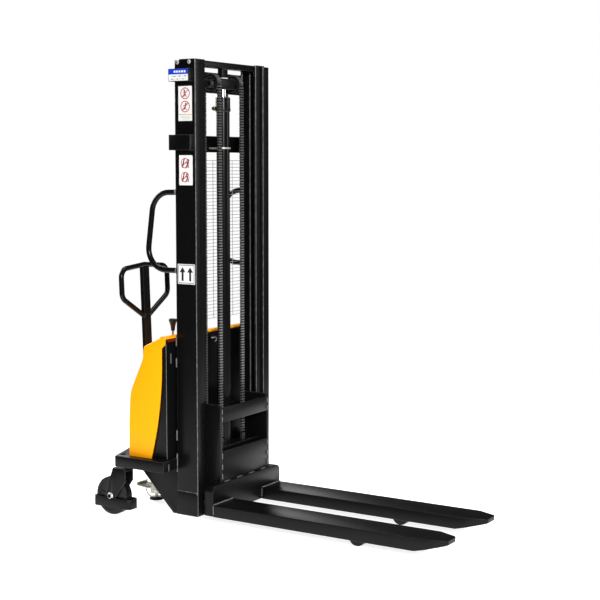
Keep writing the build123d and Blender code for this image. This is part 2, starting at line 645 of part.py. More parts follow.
# ---- chassis -------------------------------------------------------------------
def base_outline(inset):
    """The pan's plan, drawn in by a wall thickness."""
    half = BASE_WIDTH / 2 - inset
    front = MAST_REAR_Y + inset
    shoulder = (NOSE_SHOULDER[0] - inset / 2, NOSE_SHOULDER[1] - inset)
    right = [(half, front), (half, BASE_CORNER_Y - inset / 2), shoulder, (NOSE_HALF, NOSE_Y - inset)]
    return right + [(-x, y) for x, y in reversed(right)]


def base_plate():
    """A folded pan with a lower plate under each caster and bosses for the swivels."""
    pan = slab_z(base_outline(0), (BASE_BOTTOM_Z, BASE_TOP_Z))
    pan -= slab_z(base_outline(BASE_PLATE), (BASE_BOTTOM_Z, BASE_UNDER_Z))
    for side in (-1, 1):
        x = sorted((side * (CASTER_X - BASE_WIDTH / 2 + CASTER_X), side * (BASE_WIDTH / 2 - 1)))
        corner = block(x, (CASTER_Y - BASE_DEPTH, BASE_CORNER_Y),
                       (BASE_BOTTOM_Z, BASE_BOTTOM_Z + BASE_PLATE))
        inside = slab_z(base_outline(1), (BASE_BOTTOM_Z, BASE_TOP_Z))
        pan += corner & inside
        pan += rod_z(side * CASTER_X, CASTER_Y, (BASE_UNDER_Z - BOSS_DEPTH, BASE_UNDER_Z), BOSS_R)
        pan -= rod_z(side * CASTER_X, CASTER_Y, (BASE_BOTTOM_Z, BASE_UNDER_Z), STEM_R + RUNNING_FIT)
        pan -= rod_z(side * CASTER_X, CASTER_Y, (STEM_TOP_Z + 1, BASE_TOP_Z), STEM_HOLE_R)
    steer_z = (CRANK_Z[1] + 4, BASE_UNDER_Z)
    pan += rod_z(0, STEER_Y, steer_z, STEER_SHAFT_R + BASE_PLATE)
    pan -= rod_z(0, STEER_Y, (steer_z[0], BASE_TOP_Z), STEER_SHAFT_R + RUNNING_FIT)
    return pan - rod_z(0, HOSE_Y, (BASE_BOTTOM_Z, BASE_TOP_Z), 2 * HOSE_R)


def gusset():
    outline = [(MAST_REAR_Y, MAST_BASE_Z), (GUSSET_FOOT_Y, MAST_BASE_Z), GUSSET_KNEE,
               (GUSSET_TOP_Y - 12, GUSSET_KNEE[1] + 16), (GUSSET_TOP_Y, BASE_BOTTOM_Z),
               (GUSSET_TAB_Y, BASE_BOTTOM_Z + BASE_PLATE), (GUSSET_TAB_Y, BASE_UNDER_Z),
               (MAST_REAR_Y + BASE_PLATE, BASE_UNDER_Z),
               (MAST_REAR_Y + BASE_PLATE, BASE_BOTTOM_Z), (MAST_REAR_Y, BASE_BOTTOM_Z)]
    return slab_x(outline, (MAST_HALF - GUSSET_PLATE, MAST_HALF))


def make_chassis():
    keep("base_plate", base_plate())
    keep("gusset_plates", *both_sides(gusset()))
    ring = rod_z(CASTER_X, CASTER_Y, (YOKE_TOP_Z + CHAIN_GAP, BASE_BOTTOM_Z), BEARING_R)
    ring -= rod_z(CASTER_X, CASTER_Y, (YOKE_TOP_Z, BASE_BOTTOM_Z), STEM_R + LINK_GAP)
    keep("caster_bearings", *both_sides(ring))


def make_mesh():
    wires = []
    count = int((MESH_Z[1] - MESH_Z[0]) / MESH_PITCH) + 1
    y = (MAST_REAR_Y, MAST_REAR_Y + MESH_WIRE)
    for row in range(count):
        z = MESH_Z[0] + row * MESH_PITCH
        wires.append(block((-MESH_HALF, MESH_HALF), y, (z, z + MESH_WIRE)))
    guard = Part() + wires
    rear = (y[1] - MESH_WIRE / 3, y[1] + MESH_WIRE * 2 / 3)
    high = MESH_Z[0] + (count - 1) * MESH_PITCH + MESH_WIRE
    stiles = sorted({side * x for x in MESH_STILE_X for side in (-1, 1)})
    guard += [block((x - MESH_WIRE / 2, x + MESH_WIRE / 2), rear, (MESH_Z[0], high)) for x in stiles]
    keep("mesh_guard", guard)


def make_rails():
    path = FilletPolyline((RAIL_X, MAST_REAR_Y, RAIL_TOP_Z), (RAIL_X, RAIL_UPPER_Y, RAIL_TOP_Z - 2),
                          (RAIL_X, RAIL_LOWER_Y, RAIL_BOTTOM_Z), (RAIL_X, MAST_REAR_Y, RAIL_BOTTOM_Z),
                          radius=RAIL_BEND_R)
    section = Plane(path @ 0, z_dir=path % 0) * Circle(RAIL_R)
    rail = sweep(section, path=path) - block((RAIL_X - 50, RAIL_X + 50), (0, MAST_REAR_Y),
                                             (RAIL_BOTTOM_Z - 50, RAIL_TOP_Z + 50))
    keep("handrails", *both_sides(rail))


# ---- case, hood and power unit -------------------------------------------------
def hood_face():
    """The hood's side outline in (y, z), carried below the pan so that its foot stays open."""
    low = BASE_TOP_Z - 4 * HOOD_WALL
    back = FilletPolyline((HOOD_LIP_Y, low), (HOOD_LIP_Y, HOOD_TOP_Z), (HOOD_LIP_Y + 32, HOOD_TOP_Z),
                          (HOOD_LIP_Y + 47, HOOD_TOP_Z - 13), (HOOD_REAR_Y - 91, HOOD_TOP_Z - 50),
                          (HOOD_REAR_Y - 85, HOOD_TOP_Z - 110), (HOOD_REAR_Y - 11, HOOD_TOP_Z - 268),
                          (HOOD_REAR_Y - 2, HOOD_TOP_Z - 411), (HOOD_REAR_Y, low),
                          radius=[8, 8, 8, 18, 60, 180, 130])
    return make_face([*back.edges(), Line((HOOD_REAR_Y, low), (HOOD_LIP_Y, low))])


def hood_opening():
    """What the black case shows through: everything ahead of a curve that leans back at its foot,
    and the hood's front up to a thin lip."""
    foot = (HOOD_LIP_Y + 94, BASE_TOP_Z - 20)
    bend = (HOOD_LIP_Y + 39, BASE_TOP_Z + 233)
    head = (HOOD_LIP_Y + 24, BASE_TOP_Z + 433)
    edge = ThreePointArc(foot, bend, head)
    ahead = HOOD_LIP_Y - HOOD_OPENING_CUT
    rest = Polyline(head, (head[0], HOOD_OPENING_TOP_Z - HOOD_OPENING_CUT),
                    (head[0] - HOOD_OPENING_CUT, HOOD_OPENING_TOP_Z), (ahead, HOOD_OPENING_TOP_Z),
                    (ahead, foot[1]), foot)
    face = make_face([edge, *rest.edges()])
    reach = HOOD_HALF + HOOD_EDGE_R
    front = block((-reach, reach), (ahead, HOOD_LIP_Y + HOOD_WALL), (BASE_TOP_Z, HOOD_LIP_Z))
    return extrude(Plane.YZ * face, amount=reach, both=True) + front


def hood():
    face = hood_face()
    shell = extrude(Plane.YZ * face, amount=HOOD_HALF, both=True)
    rims = [edge for edge in shell.edges() if abs(abs(edge.center().X) - HOOD_HALF) < 0.01
            and edge.center().Z > BASE_TOP_Z and edge.center().Y > HOOD_LIP_Y + 1]
    shell = fillet(rims, HOOD_EDGE_R)
    core = extrude(Plane.YZ * offset(face, -HOOD_WALL, kind=Kind.INTERSECTION),
                   amount=HOOD_HALF - HOOD_WALL, both=True)
    shell = shell - core - hood_opening()
    shell -= block((-HOOD_HALF - 5, HOOD_HALF + 5), (HOOD_LIP_Y - 5, HOOD_REAR_Y + 5),
                   (BASE_TOP_Z - 60, BASE_TOP_Z))
    slot_x = (LEVER_X - LEVER_SLOT[0] / 2, LEVER_X + LEVER_SLOT[0] / 2)
    slot_y = (LEVER_Y - LEVER_SLOT[1] / 2, LEVER_Y + LEVER_SLOT[1] / 2)
    shell -= block(slot_x, slot_y, (HOOD_TOP_Z - 60, HOOD_TOP_Z + 5))
    for x in (KEY_X, STOP_X):
        shell -= rod_z(x, SWITCH_Y, (HOOD_LIP_Z, HOOD_TOP_Z + 1), SWITCH_STEM_R + SWITCH_HOLE_GAP)
    return shell


def hood_case():
    z = (BASE_TOP_Z, CASE_TOP_Z)
    y = (CASE_FRONT_Y, CASE_FRONT_Y + CASE_SIDE_REACH)
    case = block((-CASE_HALF, CASE_HALF), (y[0], y[0] + CASE_PLATE), z)
    side = block((CASE_HALF - CASE_PLATE, CASE_HALF), y, (z[0], CASE_SIDE_TOP_Z))
    for piece in both_sides(side):
        case += piece
    return case


def make_power_unit():
    keep("hood", hood())
    keep("hood_case", hood_case())
    length, depth, height = BATTERY
    batteries = []
    for side in (-1, 1):
        centre = side * BATTERY_X
        x = (centre - length / 2, centre + length / 2)
        body = block(x, (BATTERY_FRONT_Y, BATTERY_FRONT_Y + depth), (BASE_TOP_Z, BASE_TOP_Z + height))
        body = fillet(body.edges().filter_by(Axis.Z), 6)
        for post in (-1, 1):
            body += rod_z(centre + post * length * 0.38, BATTERY_FRONT_Y + 30,
                          (BASE_TOP_Z + height, BASE_TOP_Z + height + 14), 8)
        batteries.append(body)
    keep("batteries", *batteries)
    keep("valve_block", block((-VALVE_HALF, VALVE_HALF), VALVE_Y, VALVE_Z))
    motor_y = (VALVE_Y[0] + VALVE_Y[1]) / 2 + 5
    motor = rod_z(0, motor_y, (VALVE_Z[1], MOTOR_TOP_Z), MOTOR_R)
    keep("pump_motor", motor + rod_z(0, motor_y, (MOTOR_TOP_Z, MOTOR_TOP_Z + 8), MOTOR_R - 8))
    tank = block(TANK_X, TANK_Y, TANK_Z)
    tank = fillet(tank.edges().filter_by(Axis.Z), 12)
    keep("oil_tank", tank + rod_z(TANK_X[1] - 40, TANK_Y[0] + 40, (TANK_Z[1], TANK_Z[1] + 14), 16))
    keep("charger", charger())
    path = FilletPolyline((0, SHEAVE_Y + PORT_REACH, PORT_Z), (0, HOSE_Y, PORT_Z),
                          (0, HOSE_Y, VALVE_Z[0]), radius=HOSE_BEND_R)
    keep("hydraulic_hose", sweep(Plane(path @ 0, z_dir=path % 0) * Circle(HOSE_R), path=path))


def charger():
    body = block(CHARGER_X, TANK_Y, CHARGER_Z)
    pitch = 26.0
    for step in range(int((CHARGER_X[1] - CHARGER_X[0]) / pitch)):
        x = CHARGER_X[0] + pitch * (step + 0.5)
        body -= block((x - 4, x + 4), TANK_Y, (CHARGER_Z[1] - 14, CHARGER_Z[1]))
    return body


# ---- casters -------------------------------------------------------------------
def caster_yoke():
    """Crown, two cheeks, stem, steering crank with its pin, and the wheel's axle."""
    crown_z = (YOKE_TOP_Z - YOKE_CROWN, YOKE_TOP_Z)
    x = (CASTER_X - YOKE_HALF, CASTER_X + YOKE_HALF)
    yoke = block(x, YOKE_Y, crown_z)
    eye_y = WHEEL_Y + YOKE_EYE_R * 0.97
    outline = [(YOKE_Y[0], YOKE_TOP_Z), (YOKE_Y[0], YOKE_TOP_Z - 60), (WHEEL_Y - YOKE_EYE_R, WHEEL_R - 4),
               (WHEEL_Y, WHEEL_R), (eye_y, WHEEL_R + 8), (YOKE_Y[1] + 22, YOKE_TOP_Z - 60),
               (YOKE_Y[1], YOKE_TOP_Z)]
    for cheek_x in ((x[0], x[0] + YOKE_PLATE), (x[1] - YOKE_PLATE, x[1])):
        yoke += slab_x(outline, cheek_x) + rod_x(cheek_x, WHEEL_Y, WHEEL_R, YOKE_EYE_R)
    yoke += rod_z(CASTER_X, CASTER_Y, (YOKE_TOP_Z, STEM_TOP_Z), STEM_R)
    yoke += crank(CASTER_X, CASTER_Y, STEM_R + 6)
    axle = rod_x((x[0] - 9, x[1] + 9), WHEEL_Y, WHEEL_R, WHEEL_AXLE_R)
    return [yoke - rod_x(x, WHEEL_Y, WHEEL_R, WHEEL_AXLE_R), axle]


def crank(x, y, hub_r):
    """A steering arm that points to the forks at rest, with its pin at the end."""
    pin_y = y - CRANK_RADIUS
    arm = rod_z(x, y, CRANK_Z, hub_r) + rod_z(x, pin_y, CRANK_Z, LINK_EYE_R)
    arm += block((x - LINK_EYE_R, x + LINK_EYE_R), (pin_y, y), CRANK_Z)
    return arm + rod_z(x, pin_y, (CRANK_Z[1], CRANK_PIN_TOP_Z), CRANK_PIN_R)


def toe_guard():
    """A band round the wheel, with its corners cut off, held by the yoke's cheeks."""
    half = YOKE_HALF + GUARD_PLATE

    def ring(reach, low, high, chamfer_size):
        x0, x1 = CASTER_X - reach, CASTER_X + reach
        plan = [(x0 + chamfer_size, low), (x1 - chamfer_size, low), (x1, low + chamfer_size),
                (x1, high - chamfer_size), (x1 - chamfer_size, high), (x0 + chamfer_size, high),
                (x0, high - chamfer_size), (x0, low + chamfer_size)]
        return slab_z(plan, GUARD_Z)

    band = ring(half, GUARD_Y[0], GUARD_Y[1], GUARD_CUT)
    hole = ring(YOKE_HALF, GUARD_Y[0] + GUARD_PLATE, GUARD_Y[1] - GUARD_PLATE, GUARD_CUT - 3)
    return band - hole - rod_x((CASTER_X - half, CASTER_X + half), WHEEL_Y, WHEEL_R, WHEEL_AXLE_R)


def caster_wheel():
    half = WHEEL_WIDTH / 2
    x = (CASTER_X - half, CASTER_X + half)
    wheel = rod_x(x, WHEEL_Y, WHEEL_R, WHEEL_R)
    wheel = fillet(wheel.edges().filter_by(GeomType.CIRCLE), 6)
    dish = 10.0
    for face_x in ((x[0], x[0] + dish), (x[1] - dish, x[1])):
        wheel -= (rod_x(face_x, WHEEL_Y, WHEEL_R, WHEEL_R * 0.72)
                  - rod_x(face_x, WHEEL_Y, WHEEL_R, WHEEL_AXLE_R + 14))
    return wheel - rod_x(x, WHEEL_Y, WHEEL_R, WHEEL_AXLE_R + RUNNING_FIT)


def make_casters():
    left = {"caster_yoke_": caster_yoke(), "toe_guard_": [toe_guard()],
            "caster_wheel_": [caster_wheel()]}
    for name, shapes in left.items():
        keep(name + "left", *shapes)
        keep(name + "right", *[other_side(shape) for shape in shapes])


# ---- steering and tiller -------------------------------------------------------
def steer_head():
    """Turntable and clevis above the pan, shaft and crank below it, and the tilt pin."""
    turn_z = (BASE_TOP_Z + CHAIN_GAP, BASE_TOP_Z + TURNTABLE)
    head = rod_z(0, STEER_Y, turn_z, TURNTABLE_R)
    head += rod_z(0, STEER_Y, (CRANK_Z[0], turn_z[1]), STEER_SHAFT_R)
    head += crank(0, STEER_Y, STEER_SHAFT_R + 4)
    for x in ((-CLEVIS_HALF, -CLEVIS_HALF + CLEVIS_PLATE), (CLEVIS_HALF - CLEVIS_PLATE, CLEVIS_HALF)):
        cheek = block(x, (STEER_Y - 16, STEER_Y + 16), (turn_z[1] - 2, TILT_PIN_Z))
        cheek += rod_x(x, STEER_Y, TILT_PIN_Z, 16) & block(x, (0, NOSE_Y), (TILT_PIN_Z, CLEVIS_TOP_Z))
        head += cheek - rod_x(x, STEER_Y, TILT_PIN_Z, TILT_PIN_R)
    pin = rod_x((-CLEVIS_HALF - 4, CLEVIS_HALF + 4), STEER_Y, TILT_PIN_Z, TILT_PIN_R)
    return [head, pin]


def tie_rods():
    """Two flat links from the tiller's crank to the casters' cranks, one above the other."""
    rods = []
    for side, low in zip((-1, 1), LINK_Z):
        z = (low, low + LINK_PLATE)
        ends = [(0, STEER_Y - CRANK_RADIUS), (side * CASTER_X, CASTER_Y - CRANK_RADIUS)]
        run = (ends[1][0] - ends[0][0], ends[1][1] - ends[0][1])
        length = math.hypot(*run)
        nx, ny = -run[1] / length * LINK_HALF, run[0] / length * LINK_HALF
        plan = [(ends[0][0] + nx, ends[0][1] + ny), (ends[1][0] + nx, ends[1][1] + ny),
                (ends[1][0] - nx, ends[1][1] - ny), (ends[0][0] - nx, ends[0][1] - ny)]
        rod = slab_z(plan, z)
        for x, y in ends:
            rod += rod_z(x, y, z, LINK_EYE_R)
        for x, y in ends:
            rod -= rod_z(x, y, z, CRANK_PIN_R + LINK_GAP)
        rods.append(rod)
    return rods


def lean(shape):
    """Tips the tiller back about its pin."""
    pivot = Pos(0, STEER_Y, TILT_PIN_Z)
    return pivot * Rot(-TILLER_LEAN, 0, 0) * pivot.inverse() * shape


def make_tiller():
    keep("steer_head", *steer_head())
    keep("tie_rods", *tie_rods())
    half = POST_WIDTH / 2
    post_y = (STEER_Y - POST_DEPTH / 2, STEER_Y + POST_DEPTH / 2)
    post = block((-half, half), post_y, (POST_BOTTOM_Z, POST_TOP_Z))
    post = fillet(post.edges().filter_by(Axis.Z), 3)
    right = [LOOP_ROOT, LOOP_LOWER_CORNER, LOOP_UPPER_CORNER]
    outline = right + [(0, LOOP_APEX_Z)] + [(-x, z) for x, z in reversed(right)]
    path = FilletPolyline(*[(x, STEER_Y, z) for x, z in outline], radius=LOOP_BEND_R)
    loop = sweep(Plane(path @ 0, z_dir=path % 0) * Circle(LOOP_TUBE_R), path=path)
    bore = rod_x((-half, half), STEER_Y, TILT_PIN_Z, TILT_PIN_R + RUNNING_FIT)
    keep("tiller_loop", lean(loop - post))
    keep("tiller_post", lean(post - bore))


# ---- controls and floor lock ---------------------------------------------------
def make_controls():
    low, high = LEVER_KNOB_R
    knob_height = LEVER_KNOB_Z[1] - LEVER_KNOB_Z[0]
    knob = Pos(LEVER_X, LEVER_Y, sum(LEVER_KNOB_Z) / 2) * Cone(low, high, knob_height)
    knob = fillet(knob.edges().filter_by(GeomType.CIRCLE).sort_by(Axis.Z)[-1], 5)
    lever = knob + rod_z(LEVER_X, LEVER_Y, (LEVER_PIVOT_Z, LEVER_KNOB_Z[0]), LEVER_ROD_R)
    lever += rod_x((LEVER_X - 7, LEVER_X + 7), LEVER_Y, LEVER_PIVOT_Z, 9)
    keep("lift_lever", lever)
    stem = (HOOD_LIP_Z + 2, HOOD_TOP_Z + 1)
    base = (HOOD_TOP_Z + CHAIN_GAP, HOOD_TOP_Z + 5)
    key = rod_z(KEY_X, SWITCH_Y, stem, SWITCH_STEM_R) + rod_z(KEY_X, SWITCH_Y, base, KEY_R)
    key += block((KEY_X - 1.5, KEY_X + 1.5), (SWITCH_Y - 7, SWITCH_Y + 7), (base[0], base[1] + 16))
    keep("key_switch", key)
    low_z = HOOD_TOP_Z + STOP_TRAVEL
    stop = rod_z(STOP_X, SWITCH_Y, (HOOD_LIP_Z + 4, low_z + 2), SWITCH_STEM_R)
    head = rod_z(STOP_X, SWITCH_Y, (low_z + 1, low_z + 15), STOP_R)
    keep("stop_button", stop + fillet(head.edges().sort_by(Axis.Z)[-1], 5))


def make_floor_lock():
    outer = (LOCK_X - LOCK_HALF, LOCK_X + LOCK_HALF)
    low_y, high_y = LOCK_CHEEK_Y
    waist = low_y + (high_y - low_y) * 0.45
    cheek = [(low_y, LOCK_CHEEK_BOTTOM_Z), (high_y, LOCK_CHEEK_BOTTOM_Z), (high_y, LOCK_STEM_TOP_Z),
             (waist, BASE_BOTTOM_Z - BASE_DEPTH), (waist, BASE_UNDER_Z), (low_y, BASE_UNDER_Z)]
    web = block(outer, (low_y - LOCK_CHEEK, low_y), (LOCK_GUIDE_Z[0], BASE_UNDER_Z))
    for x in ((outer[0], outer[0] + LOCK_CHEEK), (outer[1] - LOCK_CHEEK, outer[1])):
        web += slab_x(cheek, x)
        web -= rod_x(x, *LOCK_PIVOT, LOCK_PIN_R + RUNNING_FIT)
    web += block(outer, (LOCK_Y - 15, LOCK_CHEEK_Y[1]), LOCK_GUIDE_Z)
    web -= rod_z(LOCK_X, LOCK_Y, LOCK_GUIDE_Z, LOCK_STEM_R + RUNNING_FIT)
    keep("lock_bracket", web)
    foot = rod_z(LOCK_X, LOCK_Y, LOCK_FOOT_Z, LOCK_FOOT_R)
    foot = fillet(foot.edges().filter_by(GeomType.CIRCLE), 3)
    keep("lock_foot", foot + rod_z(LOCK_X, LOCK_Y, (LOCK_FOOT_Z[1], LOCK_STEM_TOP_Z), LOCK_STEM_R))
    keep("lock_pedal", lock_pedal(outer))


def lock_pedal(outer):
    """Two arms on a pin, one each side of the foot's stem, and a tread plate behind them."""
    inner = (outer[0] + LOCK_CHEEK + LINK_GAP, outer[1] - LOCK_CHEEK - LINK_GAP)
    pedal = rod_x(outer, *LOCK_PIVOT, LOCK_PIN_R)
    run = math.atan2(PEDAL_TIP[1] - LOCK_PIVOT[1], PEDAL_TIP[0] - LOCK_PIVOT[0])
    length = math.hypot(PEDAL_TIP[1] - LOCK_PIVOT[1], PEDAL_TIP[0] - LOCK_PIVOT[0])
    place = Pos(0, *LOCK_PIVOT) * Rot(math.degrees(run), 0, 0)
    for x in ((inner[0], inner[0] + PEDAL_ARM), (inner[1] - PEDAL_ARM, inner[1])):
        pedal += place * block(x, (-6, length * 0.5), (-5, 5))
    wide = (LOCK_X - PEDAL_HALF, LOCK_X + PEDAL_HALF)
    tread = block(wide, (length * 0.46, length), (0, PEDAL_PLATE))
    lip = block(wide, (length - PEDAL_PLATE, length), (0, 3 * PEDAL_PLATE))
    return pedal + place * (tread + lip)


make_outer_mast()
make_legs()
make_inner_mast()
make_chains()
make_cylinder()
make_carriage()
make_chassis()
make_mesh()
make_rails()
make_power_unit()
make_casters()
make_tiller()
make_controls()
make_floor_lock()

os.makedirs("parts", exist_ok=True)
for node, shape in parts.items():
    export_step(shape, f"parts/{node}.step")
print(len(parts), "nodes, shifted along y by", round(DATUM_Y, 3))
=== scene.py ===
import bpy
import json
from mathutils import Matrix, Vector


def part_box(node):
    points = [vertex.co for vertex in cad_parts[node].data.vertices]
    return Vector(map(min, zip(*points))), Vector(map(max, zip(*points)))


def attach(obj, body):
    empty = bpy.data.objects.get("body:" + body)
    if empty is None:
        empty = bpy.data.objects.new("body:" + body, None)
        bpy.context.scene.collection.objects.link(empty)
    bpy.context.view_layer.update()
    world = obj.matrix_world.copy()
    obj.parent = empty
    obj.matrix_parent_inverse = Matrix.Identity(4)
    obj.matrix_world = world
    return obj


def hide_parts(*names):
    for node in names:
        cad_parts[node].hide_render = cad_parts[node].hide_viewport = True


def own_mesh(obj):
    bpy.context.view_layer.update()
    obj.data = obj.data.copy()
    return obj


bl_info = {
    "name": "Walkie stacker",
    "version": (1, 0, 0),
    "blender": (4, 5, 0),
    "location": "View3D > Sidebar > Stacker",
    "description": "Dresses the stacker's frame with its finishes, chains, welds, guards and labels",
    "category": "Object",
}

import json
import math
import random

import bmesh
import bpy
from mathutils import Matrix, Vector

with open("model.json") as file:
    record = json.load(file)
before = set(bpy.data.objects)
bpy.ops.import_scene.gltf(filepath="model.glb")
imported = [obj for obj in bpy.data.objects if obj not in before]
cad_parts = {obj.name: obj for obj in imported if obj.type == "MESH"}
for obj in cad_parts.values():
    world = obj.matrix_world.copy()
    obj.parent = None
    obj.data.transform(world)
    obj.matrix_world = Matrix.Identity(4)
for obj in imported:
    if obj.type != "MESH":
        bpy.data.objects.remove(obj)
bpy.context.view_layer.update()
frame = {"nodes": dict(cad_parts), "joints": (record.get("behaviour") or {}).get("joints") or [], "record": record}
NODES = frame["nodes"]
JOINTS = {joint["name"]: joint for joint in frame["joints"]}
BODY = {node: body for body, nodes in frame["record"]["behaviour"]["bodies"].items() for node in nodes}
SLOT = {part["node"]: part["material_slot"] for part in frame["record"]["subparts"]}
X, Y, Z = Vector((1, 0, 0)), Vector((0, 1, 0)), Vector((0, 0, 1))
SIDES = (-1, 1)
SIDE_WORDS = ((-1, "right"), (1, "left"))
DATUM_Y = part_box("lower_beam")[0].y
MAST_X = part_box("mast_column_left")[1].x
MAST_FRONT, MAST_REAR = (corner.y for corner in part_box("mast_column_left"))
STROKE = JOINTS["mast_lift"]["range_m"][1]
SHEAVE_HUB = Vector(JOINTS["sheave_spin"]["pos_m"])
# Light grey of rubbed metal, also used for painted highlights along coated edges and on weld beads
RUBBED_AND_HIGHLIGHT_GREY = (0.3, 0.3, 0.305, 1)


# ---- sizes and colours that can be changed in the sidebar ----------------------
def distance(name, description, default):
    return bpy.props.FloatProperty(name=name, description=description, default=default,
                                   min=0.0, unit="LENGTH", subtype="DISTANCE")


def colour(name, description, default):
    return bpy.props.FloatVectorProperty(name=name, description=description, default=default,
                                         size=4, min=0.0, max=1.0, subtype="COLOR")


def share(name, description, default):
    return bpy.props.FloatProperty(name=name, description=description, default=default,
                                   min=0.0, max=1.0, subtype="FACTOR")


class StackerSizes(bpy.types.PropertyGroup):
    edge: distance("Edge", "Rounding along the edges of cut plate", 0.0018)
    channel_corner: distance("Channel corner", "Rounding at the corners of the rolled channels", 0.0055)
    channel_root: distance("Channel root", "Fillet between a channel's web and flanges", 0.007)
    chain_pitch: distance("Chain pitch", "Distance between the pins of the leaf chains", STROKE / 120)
    wire: distance("Guard wire", "Diameter of the wires of the mesh guard", 0.003)
    bead: distance("Weld bead", "Half the width of a weld bead", 0.0035)
    label: distance("Label", "Thickness of a printed label", 0.0003)


class StackerColours(bpy.types.PropertyGroup):
    steel: colour("Painted steel", "Powder coat of the mast, forks and chassis", (0.0026, 0.0026, 0.0027, 1))
    hood: colour("Hood", "Moulded shell over the power unit", (1.0, 0.385, 0.0, 1))
    zinc: colour("Zinc plating", "Floor lock, straps and bolts", (0.5, 0.48, 0.41, 1))
    brass: colour("Brass", "Bleed fitting", (0.75, 0.52, 0.18, 1))
    # Sets both the rubbed metal and the painted highlight lines along edges and channel corners
    wear_and_highlight: share("Wear", "How much bare or rubbed metal shows along the edges", 0.5)
    key_light: bpy.props.FloatProperty(name="Key light", description="Power of the large front light",
                                       default=520.0, min=0.0, unit="POWER")
    fill_light: bpy.props.FloatProperty(name="Fill light", description="Power of the side light",
                                        default=60.0, min=0.0, unit="POWER")


def sizes():
    return bpy.context.scene.stacker_sizes


def colours():
    return bpy.context.scene.stacker_colours


# ---- shader maths --------------------------------------------------------------
class Value:
    """A number or a shader socket, so that a Python expression adds its own Math nodes."""

    def __init__(self, finish, socket):
        self.finish = finish
        self.socket = socket

    def maths(self, operation, *operands):
        inputs = {index: operand for index, operand in enumerate(operands)}
        return self.finish.node("Math", {"operation": operation}, inputs)["Value"]

    def __add__(self, other):
        return self.maths("ADD", self, other)

    def __sub__(self, other):
        return self.maths("SUBTRACT", self, other)

    def __rsub__(self, other):
        return self.maths("SUBTRACT", other, self)

    def __mul__(self, other):
        return self.maths("MULTIPLY", self, other)

    def __truediv__(self, other):
        return self.maths("DIVIDE", self, other)

    def __rtruediv__(self, other):
        return self.maths("DIVIDE", other, self)

    def __abs__(self):
        return self.maths("ABSOLUTE", self)

    __radd__ = __add__
    __rmul__ = __mul__

    def between(self, low, high):
        """0 below low, 1 above high and a smooth step in the middle."""
        settings = {"interpolation_type": "SMOOTHSTEP"}
        inputs = {"Value": self, "From Min": low, "From Max": high}
        return self.finish.node("MapRange", settings, inputs)["Result"]

    def wave(self):
        """0.5 at every whole number and 0 half way between."""
        return abs(self.maths("FRACT", self) - 0.5)

    def clipped(self):
        return self.maths("MINIMUM", self.maths("MAXIMUM", self, 0.0), 1.0)


class Outputs:
    """The sockets of a new node, wrapped by name."""

    def __init__(self, finish, node):
        self.finish = finish
        self.node = node

    def __getitem__(self, name):
        return Value(self.finish, self.node.outputs[name])


class Nodes:
    """The node tree of a material or of the world."""

    def __init__(self, owner):
        owner.use_nodes = True
        self.tree = owner.node_tree
        self.tree.nodes.clear()

    def node(self, kind, settings, inputs):
        """Adds one node: its settings first, then the value or link of each named socket."""
        node = self.tree.nodes.new("ShaderNode" + kind)
        for key, setting in settings.items():
            setattr(node, key, setting)
        for key, given in inputs.items():
            if isinstance(given, Value):
                self.tree.links.new(given.socket, node.inputs[key])
            else:
                node.inputs[key].default_value = given
        return Outputs(self, node)


class Finish(Nodes):
    """A procedural material, made of nodes that read the object's own coordinates in metres."""

    def __init__(self, name):
        self.material = bpy.data.materials.new(name)
        super().__init__(self.material)
        self.place = self.node("TexCoord", {}, {})["Object"]

    def noise(self, size, detail=2.0, stretch=(1, 1, 1)):
        """Noise from 0 to 1 whose lumps are about `size` metres across."""
        where = self.node("Mapping", {}, {"Vector": self.place, "Scale": stretch})["Vector"]
        inputs = {"Vector": where, "Scale": 1 / size, "Detail": detail}
        return self.node("TexNoise", {}, inputs)["Fac"]

    def cells(self, size):
        """Distance to the middle of cells about `size` metres across."""
        return self.node("TexVoronoi", {}, {"Vector": self.place, "Scale": 1 / size})["Distance"]

    def axis(self, name):
        return self.node("SeparateXYZ", {}, {"Vector": self.place})[name]

    def edges(self, radius):
        """About 1 along edges and corners, and 0 on flat faces."""
        eased = self.node("Bevel", {"samples": 4}, {"Radius": radius})["Normal"]
        plain = self.node("NewGeometry", {}, {})["Normal"]
        agree = self.node("VectorMath", {"operation": "DOT_PRODUCT"}, {0: eased, 1: plain})["Value"]
        return (1 - agree).between(0.015, 0.25)

    def corners(self):
        """1 on the rounding between two square faces, and 0 on the faces."""
        normal = self.node("TexCoord", {}, {})["Normal"]
        parts = self.node("SeparateXYZ", {}, {"Vector": normal})
        across = abs(parts["X"])
        flattest = across.maths("MAXIMUM", across, abs(parts["Y"]))
        flattest = across.maths("MAXIMUM", flattest, abs(parts["Z"]))
        return (1 - flattest).between(0.02, 0.16)

    def mix(self, amount, first, second):
        """Blends two colours."""
        inputs = {"Factor": amount, 6: first, 7: second}
        return self.node("Mix", {"data_type": "RGBA"}, inputs)[2]

    def bump(self, height, depth):
        """A normal from a height that runs from 0 to 1 over `depth` metres."""
        return self.node("Bump", {}, {"Height": height, "Distance": depth, "Strength": 1.0})["Normal"]

    def surface(self, **inputs):
        """Ends the material in one Principled shader; keys are socket names with underscores."""
        named = {key.replace("_", " "): given for key, given in inputs.items()}
        shader = self.node("BsdfPrincipled", {}, named)["BSDF"]
        self.node("OutputMaterial", {}, {"Surface": shader})
        return self.material


def shade(rgba, factor):
    return [min(1.0, channel * factor) for channel in rgba[:3]] + [1.0]


